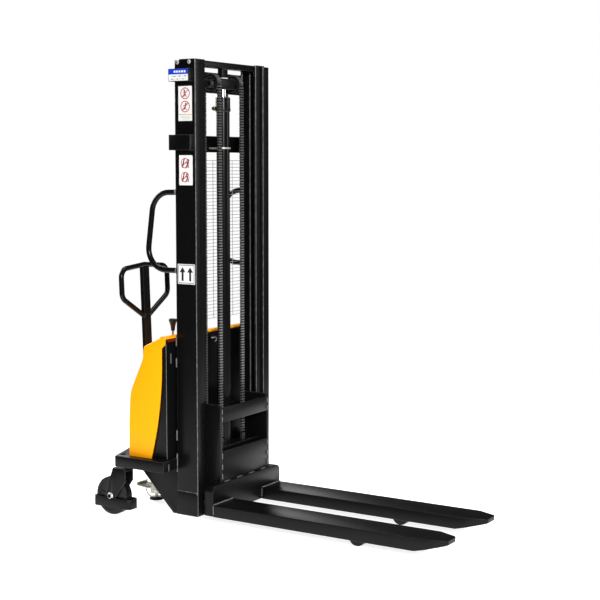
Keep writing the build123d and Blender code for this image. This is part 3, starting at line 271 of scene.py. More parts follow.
# ---- finishes ------------------------------------------------------------------
def powder_coat(name, base, gloss=0.3, grain=0.0014, depth=0.000006, square=False):
    """Baked powder coat: orange peel, handling marks, floor dust, and rubbed edges lightened also as painted
    highlight lines.
    """
    finish = Finish(name)
    peel = finish.noise(grain, 2.0)
    cloud = finish.noise(0.35, 3.0)
    dust = (1 - finish.axis("Z").between(0.0, 0.3)) * finish.noise(0.06, 4.0) * 0.5
    scuff = finish.noise(0.004, 3.0, (1, 1, 0.06)).between(0.66, 0.74) * cloud.between(0.5, 0.7)
    # Edges and channel corners are mixed towards light grey: partly rubbed wear, partly painted highlight lines
    # along the rounded edges
    edges = finish.corners() if square else finish.edges(0.004)
    rubbed_and_highlight_edges = edges * (0.55 + finish.noise(0.02, 3.0).between(0.4, 0.7) * 0.45)
    tone = finish.mix(cloud.between(0.3, 0.8) * 0.3, list(base), shade(base, 1.25))
    tone = finish.mix(dust * 0.03, tone, (0.09, 0.086, 0.078, 1))
    tone = finish.mix((rubbed_and_highlight_edges * colours().wear_and_highlight + scuff * 0.03).clipped(), tone, RUBBED_AND_HIGHLIGHT_GREY)
    rough = gloss + cloud * 0.05 + dust * 0.12 - scuff * 0.05 - rubbed_and_highlight_edges * 0.08 + peel * 0.02
    return finish.surface(Base_Color=tone, Roughness=rough, Specular_IOR_Level=0.14,
                          Normal=finish.bump(peel, depth))


def moulded_shell(name, base):
    """Glossy moulded hood: faint flow marks, a fine peel and dust towards its foot."""
    finish = Finish(name)
    cloud = finish.noise(0.3, 2.0)
    peel = finish.noise(0.0035, 1.0)
    dust = (1 - finish.axis("Z").between(0.28, 0.4)) * finish.noise(0.03, 4.0)
    speck = finish.noise(0.002, 2.0).between(0.78, 0.82)
    tone = finish.mix(cloud * 0.5, list(base), shade(base, 0.93))
    tone = finish.mix(dust * 0.1 + speck * 0.06, tone, (0.35, 0.2, 0.03, 1))
    rough = 0.34 + cloud * 0.08 + dust * 0.15
    return finish.surface(Base_Color=tone, Roughness=rough, Specular_IOR_Level=0.12,
                          Normal=finish.bump(peel, 0.00008))


def plated(name, base, roughness=0.32):
    """Bright zinc: a soft spangle with fingerprints and faint rolling lines."""
    finish = Finish(name)
    spangle = finish.cells(0.006)
    lines = finish.noise(0.0012, 2.0, (1, 0.05, 1))
    smear = finish.noise(0.025, 3.0)
    tone = finish.mix(spangle, list(base), shade(base, 0.78))
    tone = finish.mix(smear.between(0.55, 0.8) * 0.3, tone, shade(base, 0.5))
    rough = roughness + smear * 0.16 + lines * 0.06
    return finish.surface(Base_Color=tone, Metallic=0.6, Roughness=rough,
                          Normal=finish.bump(lines, 0.00003))


def machined(name, base, roughness, stretch=(1, 1, 0.04), depth=0.00002):
    """Turned or ground metal with fine tool lines and an oil film."""
    finish = Finish(name)
    lines = finish.noise(0.0009, 2.0, stretch)
    film = finish.noise(0.03, 3.0)
    tone = finish.mix(film, shade(base, 1.1), shade(base, 0.7))
    rough = roughness + film * 0.12 + lines * 0.06
    return finish.surface(Base_Color=tone, Metallic=1.0, Roughness=rough,
                          Normal=finish.bump(lines, depth))


def oiled_chain(name, rows=True):
    """Oiled steel plates, lighter at their pins, with painted shade in near-black rows half way between the pins.
    """
    finish = Finish(name)
    pitch = sizes().chain_pitch
    film = finish.noise(0.02, 3.0)
    rub = finish.noise(0.003, 2.0)
    tone = finish.mix(film, (0.16, 0.16, 0.165, 1), RUBBED_AND_HIGHLIGHT_GREY)
    tone = finish.mix(rub.between(0.5, 0.75) * 0.5, tone, (0.45, 0.45, 0.45, 1))
    # Painted shade: near-black rows half way between the pins, where the waisted plates fall into shade
    if rows:
        pins = ((finish.axis("Z") - SHEAVE_HUB.z) / pitch).wave().between(0.1, 0.34)
        tone = finish.mix(pins, (0.004, 0.004, 0.004, 1), tone)
    return finish.surface(Base_Color=tone, Metallic=0.85, Roughness=0.3 + film * 0.15,
                          Normal=finish.bump(rub, 0.00004))


def tread_rubber(name, base, gloss=0.55):
    """Moulded polyurethane or rubber: fine pores, scuffs and floor dust on the tread."""
    finish = Finish(name)
    pores = finish.noise(0.0012, 3.0)
    scuff = finish.noise(0.01, 4.0, (0.3, 1, 1)).between(0.5, 0.75)
    tone = finish.mix(scuff * 0.35, list(base), shade(base, 2.6))
    return finish.surface(Base_Color=tone, Roughness=gloss + scuff * 0.2, Specular_IOR_Level=0.2,
                          Normal=finish.bump(pores, 0.0001))


def moulded_plastic(name, base, gloss=0.4):
    """Injection-moulded plastic with a fine spark-eroded grain."""
    finish = Finish(name)
    pits = finish.noise(0.0008, 1.0)
    cloud = finish.noise(0.05, 2.0)
    tone = finish.mix(cloud, list(base), shade(base, 1.25))
    return finish.surface(Base_Color=tone, Roughness=gloss + cloud * 0.12, Specular_IOR_Level=0.25,
                          Normal=finish.bump(pits, 0.00005))


def printed_film(name, base):
    """Laminated label film: nearly flat colour, with slight yellowing and tiny ripples."""
    finish = Finish(name)
    ripple = finish.noise(0.012, 2.0)
    grime = finish.noise(0.03, 4.0).between(0.55, 0.8)
    tone = finish.mix(grime * 0.16, list(base), shade(base, 0.7))
    return finish.surface(Base_Color=tone, Roughness=0.3 + ripple * 0.12,
                          Normal=finish.bump(ripple, 0.00006))


def weld_with_painted_highlight(name, base):
    """A coated weld bead with painted highlights: patches of its grain lightened towards light grey."""
    finish = Finish(name)
    grain = finish.noise(0.0015, 3.0)
    # Painted highlight: the grain patches stand for glints on the bead's ripples
    tone = finish.mix(grain.between(0.35, 0.6) * 0.8, shade(base, 1.6), RUBBED_AND_HIGHLIGHT_GREY)
    return finish.surface(Base_Color=tone, Metallic=0.3, Roughness=0.28 + grain * 0.14,
                          Normal=finish.bump(grain, 0.0002))


FINISHES = {}


def make_finishes():
    tint = colours()
    steel, zinc = tuple(tint.steel), tuple(tint.zinc)
    FINISHES.update({
        "steel": powder_coat("black_powder_coat", steel),
        "rolled": powder_coat("rolled_channel_coat", shade(steel, 1.1), 0.24, 0.0018, square=True),
        "case": powder_coat("case_sheet_coat", shade(steel, 0.8), 0.34, 0.0012, 0.000005),
        "tube": powder_coat("cylinder_enamel", shade(steel, 1.5), 0.17, 0.002, 0.000004),
        # A dark red copy of the hood shell: painted shade on the hood's front flange under its lip
        "shadow_shell": moulded_shell("hood_lip_painted_shade", (0.16, 0.012, 0.002, 1)),
        "hood": moulded_shell("hood_shell", tuple(tint.hood)),
        "zinc": plated("zinc_plating", zinc),
        "bolt": plated("bolt_plating", (0.8, 0.8, 0.8, 1), 0.2),
        "wire": plated("guard_wire", (0.5, 0.5, 0.5, 1), 0.35),
        "chrome": machined("hard_chrome", (0.85, 0.85, 0.86, 1), 0.05),
        "ground": machined("ground_steel", (0.33, 0.33, 0.34, 1), 0.28, (0.04, 1, 1)),
        "dull": machined("dull_steel", (0.1, 0.1, 0.105, 1), 0.45),
        "bright": machined("bright_steel", (0.6, 0.6, 0.6, 1), 0.24),
        "cast": machined("cast_alloy", (0.55, 0.56, 0.57, 1), 0.42, (1, 1, 1), 0.0001),
        "brass": machined("brass_fitting", tuple(tint.brass), 0.2),
        "chain": oiled_chain("oiled_leaf_chain_painted_shade"),
        "chain_turn": oiled_chain("oiled_chain_turn", rows=False),
        "wheel": tread_rubber("wheel_tread", (0.005, 0.005, 0.0052, 1), 0.36),
        "rubber": tread_rubber("black_rubber", (0.013, 0.013, 0.013, 1), 0.6),
        "plastic": moulded_plastic("black_plastic", (0.0035, 0.0034, 0.0033, 1)),
        # A lighter grey copy of the black plastic: painted highlight on the wheel ribs
        "rib": moulded_plastic("rib_painted_highlight", (0.022, 0.022, 0.022, 1), 0.35),
        "grip": moulded_plastic("knob_plastic", (0.022, 0.0145, 0.0115, 1), 0.3),
        "red": moulded_plastic("red_plastic", (0.6, 0.01, 0.008, 1), 0.25),
        "grey": moulded_plastic("grey_plastic", (0.22, 0.23, 0.25, 1)),
        "nylon": moulded_plastic("nylon", (0.7, 0.68, 0.6, 1)),
        "weld": weld_with_painted_highlight("weld_with_painted_highlight", steel),
        "paper": printed_film("label_white", (0.85, 0.85, 0.84, 1)),
        "ink": printed_film("label_black", (0.008, 0.008, 0.008, 1)),
        "stop_ink": printed_film("label_red", (0.6, 0.012, 0.02, 1)),
        "blue_ink": printed_film("label_blue", (0.008, 0.045, 0.55, 1)),
        "green_ink": printed_film("label_green", (0.3, 0.42, 0.12, 1)),
        "orange_ink": printed_film("label_orange", (0.8, 0.3, 0.05, 1)),
        "pale_ink": printed_film("label_pale", (0.55, 0.56, 0.5, 1)),
    })


NODE_FINISH = {
    "frame_black": "steel", "hood_yellow": "hood", "case_black": "case", "bright_steel": "bright",
    "chrome_rod": "chrome", "zinc": "zinc", "chain_steel": "chain", "roller_steel": "ground",
    "wheel_black": "wheel", "load_roller": "wheel", "rubber_black": "rubber",
    "plastic_black": "plastic", "plastic_red": "red", "plastic_grey": "grey", "nylon": "nylon",
    "alloy": "cast",
}
OWN_FINISH = {
    "lift_cylinder": "tube", "lock_bracket": "zinc", "caster_bearings": "dull", "mesh_guard": "wire",
    "front_chain_anchors": "dull", "rear_chain_anchors": "dull", "handrails": "tube",
    "tiller_loop": "tube",
}


def finish_of(node):
    return FINISHES[OWN_FINISH.get(node, NODE_FINISH[SLOT[node]])]


# ---- mesh building -------------------------------------------------------------
class Shape:
    """Collects geometry in one mesh, in metres in the row frame; `ink` is the material's place."""

    def __init__(self, *finishes):
        self.mesh = bmesh.new()
        self.finishes = finishes
        self.ink = 0

    def face(self, corners):
        made = self.mesh.faces.new(corners)
        made.material_index = self.ink
        made.smooth = True

    def skin(self, rings):
        """Joins rings of points into a tube, with flat ends."""
        loops = [[self.mesh.verts.new(point) for point in ring] for ring in rings]
        for low, high in zip(loops, loops[1:]):
            for index in range(len(low)):
                following = (index + 1) % len(low)
                self.face((low[index], low[following], high[following], high[index]))
        self.face(list(reversed(loops[0])))
        self.face(loops[-1])

    def prism(self, outline, origin, across, up, height):
        """Extrudes a counter-clockwise outline of (a, b) along `across` x `up` by height."""
        out = across.cross(up)
        flat = [origin + across * a + up * b for a, b in outline]
        self.skin([flat, [point + out * height for point in flat]])

    def lathe(self, profile, origin, direction, segments=32):
        """Turns a profile of (radius, along) about a line; it starts and ends on flat caps."""
        direction = direction.normalized()
        side = direction.orthogonal().normalized()
        self.skin([circle(origin + direction * along, side, direction.cross(side), radius, segments)
                   for radius, along in profile])

    def tube(self, points, radius, sides=16, ripple=0.0, pitch=1.0):
        """Sweeps a circle along points; a ripple swells it once in every pitch."""
        points = [Vector(point) for point in points]
        side = None
        rings = []
        travelled = 0.0
        for index, point in enumerate(points):
            before = points[max(index - 1, 0)]
            after = points[min(index + 1, len(points) - 1)]
            direction = (after - before).normalized()
            travelled += (point - before).length
            if side is None:
                side = direction.orthogonal()
            side = (side - direction * side.dot(direction)).normalized()
            swell = radius * (1 + ripple * abs(math.sin(math.pi * travelled / pitch)))
            rings.append(circle(point, side, direction.cross(side), swell, sides))
        self.skin(rings)

    def bead(self, start, end, radius=None):
        """A weld bead between two points, half sunk in the corner that it fills."""
        radius = radius or sizes().bead
        start, end = Vector(start), Vector(end)
        run = (end - start).length
        pitch = radius * 0.75
        count = max(4, int(run / pitch * 2))
        points = []
        wander = random.Random(int(run * 1e5) + int(abs(start.z) * 1e4))
        for index in range(count + 1):
            drift = Vector([wander.uniform(-1, 1) for axis in "xyz"]) * radius * 0.05
            points.append(start.lerp(end, index / count) + drift)
        self.tube(points, radius * 0.82, 8, 0.22, pitch)

    def hex_bolt(self, origin, direction, across, height, washer):
        """A washer and a chamfered hexagon head that stand on a surface; `washer` is its radius."""
        thick = washer * 0.16
        self.lathe([(washer, 0), (washer, thick * 0.7), (washer * 0.97, thick)], origin, direction, 24)
        corner = across / math.sqrt(3)
        head = [(corner, thick), (corner, thick + height * 0.82), (corner * 0.88, thick + height)]
        self.lathe(head, origin, direction, 6)

    def done(self, name, body, sharp=35.0, replaces=()):
        """Turns the collected faces into a piece that rides on a body."""
        bmesh.ops.remove_doubles(self.mesh, verts=self.mesh.verts, dist=1e-7)
        bmesh.ops.recalc_face_normals(self.mesh, faces=self.mesh.faces)
        finishes = [FINISHES[finish] for finish in self.finishes]
        return place_piece(self.mesh, name, finishes, sharp, body, replaces)


def link(name, data):
    """Puts an object in the scene."""
    made = bpy.data.objects.new(name, data)
    bpy.context.scene.collection.objects.link(made)
    return made


def place_piece(mesh, name, finishes, sharp, body, replaces):
    """Turns a finished mesh into a piece; `sharp` is the angle in degrees where shading breaks."""
    data = bpy.data.meshes.new(name)
    mesh.to_mesh(data)
    mesh.free()
    data.set_sharp_from_angle(angle=math.radians(sharp))
    for finish in finishes:
        data.materials.append(finish)
    piece = link(name, data)
    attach(piece, body)
    if replaces:
        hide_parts(*replaces)
    return piece


def circle(centre, side, other, radius, count):
    """Points round a centre, turning from `side` towards `other`."""
    turns = [2 * math.pi * step / count for step in range(count)]
    return [centre + (side * math.cos(turn) + other * math.sin(turn)) * radius for turn in turns]


def rectangle(low, high, corner=0.0):
    """The outline of a rectangle, rounded where `corner` isn't 0."""
    outline = [(low[0], low[1]), (high[0], low[1]), (high[0], high[1]), (low[0], high[1])]
    return rounded(outline, corner) if corner else outline


def rounded(outline, radius, steps=4):
    """An outline with its corners turned to arcs; radius is one number or one for each corner."""
    count = len(outline)
    radii = radius if isinstance(radius, (list, tuple)) else [radius] * count
    points = []
    for index, corner in enumerate(outline):
        here = Vector(corner)
        before = Vector(outline[index - 1]) - here
        after = Vector(outline[(index + 1) % count]) - here
        if radii[index] <= 0:
            points.append(tuple(here))
            continue
        half = before.angle(after) / 2
        reach = radii[index] / math.tan(half)
        inwards = (before.normalized() + after.normalized()).normalized()
        centre = here + inwards * radii[index] / math.sin(half)
        first = here + before.normalized() * reach - centre
        last = here + after.normalized() * reach - centre
        start = math.atan2(first.y, first.x)
        turn = math.atan2(first.x * last.y - first.y * last.x, first.dot(last))
        for step in range(steps + 1):
            angle = start + turn * step / steps
            points.append((centre.x + radii[index] * math.cos(angle),
                           centre.y + radii[index] * math.sin(angle)))
    return points


def bent(points, radius, steps=10):
    """A path in space with its inner corners turned to arcs."""
    points = [Vector(point) for point in points]
    path = [points[0]]
    for index in range(1, len(points) - 1):
        corner = points[index]
        before = (points[index - 1] - corner).normalized()
        after = (points[index + 1] - corner).normalized()
        half = before.angle(after) / 2
        reach = radius / math.tan(half)
        centre = corner + (before + after).normalized() * radius / math.sin(half)
        first = (corner + before * reach - centre).normalized()
        last = (corner + after * reach - centre).normalized()
        for step in range(steps + 1):
            path.append(centre + first.slerp(last, step / steps) * radius)
    path.append(points[-1])
    return path


def softened(node, edge=None, segments=2):
    """A copy of a cut or folded plate piece with its sharp edges rounded, which stands for the node."""
    mesh = bmesh.new()
    mesh.from_mesh(NODES[node].data)
    bmesh.ops.remove_doubles(mesh, verts=mesh.verts, dist=1e-6)
    bmesh.ops.dissolve_limit(mesh, angle_limit=math.radians(0.6), verts=mesh.verts, edges=mesh.edges)
    limit = math.radians(28)
    sharp = [side for side in mesh.edges if side.is_manifold and side.calc_face_angle() > limit]
    bmesh.ops.bevel(mesh, geom=sharp, offset=edge or sizes().edge, offset_type="OFFSET",
                    segments=segments, profile=0.5, affect="EDGES", clamp_overlap=True)
    for face in mesh.faces:
        face.smooth = True
        face.material_index = 0
    place_piece(mesh, "coated_" + node, [finish_of(node)], 38, BODY[node], [node])


def middle(node):
    low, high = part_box(node)
    return (low + high) / 2


# ---- pieces --------------------------------------------------------------------
class Undoable:
    """The options that all the operators share"""
    bl_options = {"REGISTER", "UNDO"}


class STACKER_OT_finishes(Undoable, bpy.types.Operator):
    """Make the finishes and give every frame node its own"""
    bl_idname = "stacker.finishes"
    bl_label = "Finishes"

    def execute(self, context):
        make_finishes()
        for name, node in NODES.items():
            for place in node.material_slots:
                place.material = finish_of(name)
        return {"FINISHED"}


PLATES = (
    "mast_ties", "mast_foot", "support_legs", "inner_top_bar", "inner_foot", "crosshead", "lower_beam",
    "carriage_sides", "carriage_front_plate", "carriage_top_bar", "chain_anchor_bar", "base_plate",
    "gusset_plates", "hood_case", "caster_yoke_left", "caster_yoke_right", "toe_guard_left",
    "toe_guard_right", "steer_head", "lock_bracket", "cylinder_strap", "tie_rods", "lock_pedal",
)


class STACKER_OT_plates(Undoable, bpy.types.Operator):
    """Round the edges of the hood and of the welded and folded plate pieces"""
    bl_idname = "stacker.plates"
    bl_label = "Plate pieces"

    def execute(self, context):
        softened("hood", 0.005, 3)
        for node in PLATES:
            softened(node)
        return {"FINISHED"}


INNER_TIP = 0.203  # from the middle of the mast to the flange tips of an inner channel


class STACKER_OT_channels(Undoable, bpy.types.Operator):
    """Make the rolled channels of the outer and inner mast"""
    bl_idname = "stacker.channels"
    bl_label = "Mast channels"

    def execute(self, context):
        for side, word in SIDE_WORDS:
            node = "mast_column_" + word
            self.channel(side, *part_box(node), 0.016, "rolled_column_" + word, "chassis", [node])
        low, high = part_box("inner_channels")
        low = Vector((INNER_TIP, low.y, low.z))
        for side, word in SIDE_WORDS:
            self.channel(side, low, high, 0.014, "rolled_inner_channel_" + word, "inner_mast",
                         ["inner_channels"] if side > 0 else [])
        return {"FINISHED"}

    def channel(self, side, low, high, web, name, body, replaced):
        """One channel that opens towards the middle of the mast."""
        flange = 0.012
        tip = min(abs(low.x), abs(high.x))
        back = max(abs(low.x), abs(high.x))
        corner, root = sizes().channel_corner, sizes().channel_root
        outline = [(tip, low.y), (back, low.y), (back, high.y), (tip, high.y), (tip, high.y - flange),
                   (back - web, high.y - flange), (back - web, low.y + flange), (tip, low.y + flange)]
        radii = [corner * 0.8, corner, corner, corner * 0.8, corner, root, root, corner]
        points = [(side * x, y) for x, y in rounded(outline, radii, 5)]
        if side < 0:
            points.reverse()
        shape = Shape("rolled")
        shape.prism(points, Z * low.z, X, Y, high.z - low.z)
        shape.done(name, body, replaces=replaced)


class STACKER_OT_forks(Undoable, bpy.types.Operator):
    """Make the pressed forks with rounded shoulders and closed tips"""
    bl_idname = "stacker.forks"
    bl_label = "Forks"

    def execute(self, context):
        heel_y = DATUM_Y - 0.001
        for word in ("left", "right"):
            softened("fork_" + word, 0.004, segments=3)
            low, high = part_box("fork_" + word)
            shape = Shape("weld")
            for x in (low.x + 0.0025, high.x - 0.0025):
                shape.bead((x, heel_y, low.z + 0.012), (x, heel_y, high.z - 0.003))
            shape.bead((low.x + 0.004, heel_y, high.z + 0.0005), (high.x - 0.004, heel_y, high.z + 0.0005))
            shape.done("fork_weld_" + word, "carriage")
        return {"FINISHED"}


LINK_THICK, LINK_WIDTH = 0.012, 0.0245  # a strand's plates: across their round ends, and all side by side


class LeafChain:
    """Draws a leaf chain between points in its middle plane, with its plates side by side along X."""

    def __init__(self, shape, centre_x, thick, width):
        self.shape = shape
        self.left = centre_x - width / 2
        self.half = thick / 2
        self.width = width

    def plate(self, first, last, x, thick):
        """One link plate, round at both pins and waisted between them."""
        along = (last - first).normalized()
        out = X.cross(along)
        steps = 5
        outline = []
        for pin, sign in ((last, 1), (first, -1)):
            for step in range(steps + 1):
                turn = math.pi * (step / steps - 0.5)
                reach = self.half * 0.9
                outline.append(pin + along * (sign * math.cos(turn) * reach)
                               + out * (sign * math.sin(turn) * reach))
            outline.append((first + last) / 2 + out * (sign * self.half * 0.4))
        faces = (x - thick / 2, x + thick / 2)
        self.shape.skin([[point + X * face for point in outline] for face in faces])

    def draw(self, pins):
        plates = 8
        step = self.width / plates
        for index, (first, last) in enumerate(zip(pins, pins[1:])):
            for place in range(index % 2, plates, 2):
                self.plate(first, last, self.left + step * (place + 0.5), step * 0.9)
        pin_profile = [(self.half * 0.5, 0), (self.half * 0.5, self.width)]
        for pin in pins:
            self.shape.lathe(pin_profile, pin + X * self.left, X, 8)


class STACKER_OT_chains(Undoable, bpy.types.Operator):
    """Make the strands of leaf chain in front of and behind the sheaves, and their turns over them"""
    bl_idname = "stacker.chains"
    bl_label = "Leaf chains"

    def execute(self, context):
        pitch = sizes().chain_pitch
        low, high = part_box("front_chain")
        radius = high.z - SHEAVE_HUB.z - LINK_THICK / 2
        drop = SHEAVE_HUB.z - low.z
        rear_drop = SHEAVE_HUB.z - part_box("rear_chain")[0].z
        steps = max(6, round(math.pi * radius / pitch))
        turns = [math.pi * step / steps for step in range(steps + 1)]
        hub_y, hub_z = SHEAVE_HUB.y, SHEAVE_HUB.z
        arc = [Vector((0, hub_y - radius * math.cos(turn), hub_z + radius * math.sin(turn)))
               for turn in turns]
        front_pins = self.run(-radius, int(drop / pitch))
        rear_pins = self.run(radius, int(rear_drop / pitch))
        spare_pins = self.run(radius, round(STROKE / pitch))
        for side, word in SIDE_WORDS:
            self.centre_x = side * (high.x - 0.0125)
            front = self.strand("front_leaf_chain_" + word, "inner_mast", front_pins,
                                replaces=["front_chain"] if side > 0 else ())
            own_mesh(front)
            self.strand("chain_turn_" + word, "inner_mast", arc, finish="chain_turn")
            self.strand("rear_leaf_chain_" + word, "chassis", rear_pins,
                        replaces=["rear_chain"] if side > 0 else ())
            # a slimmer run that hides in the rear strand and leaves it as the mast rises
            self.strand("rear_chain_run_" + word, "inner_mast", spare_pins, thick=0.0114, width=0.0238)
        return {"FINISHED"}

    def run(self, reach, count):
        """Pins one below another, in front of the hub or behind it."""
        pitch, y = sizes().chain_pitch, SHEAVE_HUB.y + reach
        return [Vector((0, y, SHEAVE_HUB.z - step * pitch)) for step in range(count + 1)]

    def strand(self, name, body, pins, finish="chain", thick=LINK_THICK, width=LINK_WIDTH, replaces=()):
        shape = Shape(finish)
        LeafChain(shape, self.centre_x, thick, width).draw(pins)
        return shape.done(name, body, replaces=replaces)


BLEED_Z = 1.878  # the height of the bleed fitting


class STACKER_OT_head(Undoable, bpy.types.Operator):
    """Make the sheaves, the bolts and washers of the crosshead and the cylinder's fittings"""
    bl_idname = "stacker.head"
    bl_label = "Mast head"

    def execute(self, context):
        self.sheaves()
        self.bolts()
        self.crosshead()
        self.cylinder()
        return {"FINISHED"}

    def sheaves(self):
        low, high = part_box("sheaves")
        rim = (high.z - low.z) / 2
        width = 0.031
        shape = Shape("steel", "ground")
        for side in SIDES:
            start = Vector((side * (high.x - width), SHEAVE_HUB.y, SHEAVE_HUB.z))
            profile = [(0.0126, 0.001), (0.02, 0.0), (0.0205, 0.0035), (0.031, 0.0035), (0.032, 0.0),
                       (rim - 0.001, 0.0), (rim, 0.0006), (rim, 0.002), (rim - 0.0068, 0.0028),
                       (rim - 0.0068, 0.0282), (rim, 0.029), (rim, 0.0304), (rim - 0.001, width),
                       (0.032, width), (0.031, 0.0275), (0.0205, 0.0275), (0.02, width), (0.0126, 0.03)]
            shape.ink = 0
            shape.lathe(profile, start, X * side, 48)
            shape.ink = 1
            for turn in range(4):
                angle = math.pi / 4 + turn * math.pi / 2
                spot = start + X * side * 0.0275 + Vector((0, math.cos(angle), math.sin(angle))) * 0.0258
                shape.lathe([(0.002, 0), (0.002, 0.001)], spot, X * side, 10)
        shape.done("turned_sheaves", "sheave_pair", replaces=["sheaves"])

    def bolts(self):
        shape = Shape("bolt", "ink")
        low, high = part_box("mast_bolts")
        for side in SIDES:
            for y in (low.y + 0.007, high.y - 0.007):
                start = Vector((side * MAST_X, y, middle("mast_bolts").z))
                shape.ink = 0
                shape.hex_bolt(start, X * side, 0.0125, 0.0033, 0.0098)
                shape.ink = 1
                shape.lathe([(0.0026, 0), (0.0026, 0.0002)], start + X * side * 0.0049, X * side, 12)
        shape.done("mast_head_bolts", "chassis", replaces=["mast_bolts"])

    def crosshead(self):
        """The rod's cap, the post up to the top bar and the washers beside the sheaves."""
        shape = Shape("dull", "paper", "steel", "weld")
        hub = SHEAVE_HUB
        shape.ink = 1
        shape.lathe([(0.024, 0), (0.024, 0.003), (0.022, 0.004)], Vector((0, hub.y, hub.z + 0.026)), Z, 32)
        shape.ink = 2
        foot, top = hub.z + 0.031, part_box("inner_top_bar")[0].z
        front, rear = hub.y - 0.0135, hub.y + 0.0135
        shape.prism(rectangle((-0.023, front), (0.023, rear), 0.003), Z * foot, X, Y, top - foot)
        shape.ink = 3
        for y in (front, rear):
            shape.bead((-0.02, y, top), (0.02, y, top), 0.002)
        shape.ink = 0
        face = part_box("sheaves")[1].x + 0.0006
        for side in SIDES:
            washer = Vector((side * face, hub.y, hub.z))
            shape.lathe([(0.0185, 0), (0.0185, 0.0022), (0.0178, 0.0028)], washer, X * side, 32)
            shape.lathe([(0.0152, 0.0028), (0.0152, 0.0042), (0.0146, 0.0046)], washer, X * side, 28)
        shape.done("crosshead_washers", "inner_mast")

    def cylinder(self):
        low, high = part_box("lift_cylinder")
        centre = Vector((0, SHEAVE_HUB.y, 0))
        shape = Shape("steel", "brass", "rubber")
        gland = high.z
        shape.lathe([(0.0345, gland - 0.064), (0.0352, gland - 0.062), (0.0352, gland - 0.052),
                     (0.0345, gland - 0.05)], centre, Z, 40)
        for out in circle(Vector((0, 0, 0)), X, Y, 1.0, 10):
            spot = centre + out * 0.0338 + Z * (gland - 0.022)
            shape.lathe([(0.0028, 0), (0.0028, 0.0012)], spot, out, 10)
        shape.ink = 2
        shape.lathe([(0.0215, gland), (0.0215, gland + 0.0012), (0.017, gland + 0.003)], centre, Z, 32)
        start = centre + Vector((low.x + 0.014, 0, BLEED_Z))
        shape.lathe([(0.0105, -0.001), (0.0105, 0.007)], start + X * -0.001, -X, 6)
        shape.ink = 1
        shape.lathe([(0.0085, 0.006), (0.0085, 0.0125), (0.0065, 0.014)], start, -X, 6)
        cap = start + Vector((-0.006, 0, 0.002))
        shape.lathe([(0.0075, 0.0), (0.0078, 0.004), (0.0062, 0.008)], cap, Z, 18)
        shape.done("cylinder_fittings", "chassis")


class STACKER_OT_guard(Undoable, bpy.types.Operator):
    """Make the welded wire guard and its clamps"""
    bl_idname = "stacker.guard"
    bl_label = "Mesh guard"

    def execute(self, context):
        low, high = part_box("mesh_guard")
        radius = sizes().wire / 2
        pitch, stay_x, clamp_x = 0.016, 0.158, 0.262
        shape = Shape("wire")
        rows = round((high.z - low.z - 2 * radius) / pitch)
        for row in range(rows + 1):
            z = low.z + radius + row * pitch
            shape.tube([(low.x, low.y + radius, z), (high.x, low.y + radius, z)], radius * 0.8, 6)
        rear = low.y + radius * 2.4
        for x in (low.x + radius, -stay_x, 0.0, stay_x, high.x - radius):
            shape.tube([(x, rear, low.z), (x, rear, high.z)], radius * 0.9, 6)
        shape.done("wire_guard", "chassis", replaces=["mesh_guard"])
        shape = Shape("steel")
        for side in SIDES:
            for z in (low.z + 0.05, low.z + 0.37, high.z - 0.06):
                shape.hex_bolt(Vector((side * clamp_x, MAST_REAR, z)), Y, 0.01, 0.004, 0.009)
        shape.done("guard_clamps", "chassis")
        return {"FINISHED"}


class STACKER_OT_rails(Undoable, bpy.types.Operator):
    """Weld the handrails to the mast"""
    bl_idname = "stacker.rails"
    bl_label = "Rail welds"

    def execute(self, context):
        low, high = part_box("handrails")
        rail_x, rail_radius, collar = 0.284, 0.0125, 0.0128
        across = Y.orthogonal().normalized()
        shape = Shape("weld")
        for side in SIDES:
            for z in (low.z + rail_radius, high.z - rail_radius):
                centre = Vector((side * rail_x, MAST_REAR + 0.0015, z))
                points = circle(centre, across, Y.cross(across), collar, 60)
                shape.tube(points + points[:1], 0.0028, 8, 0.2, 0.0035)
        shape.done("rail_welds", "chassis")
        return {"FINISHED"}


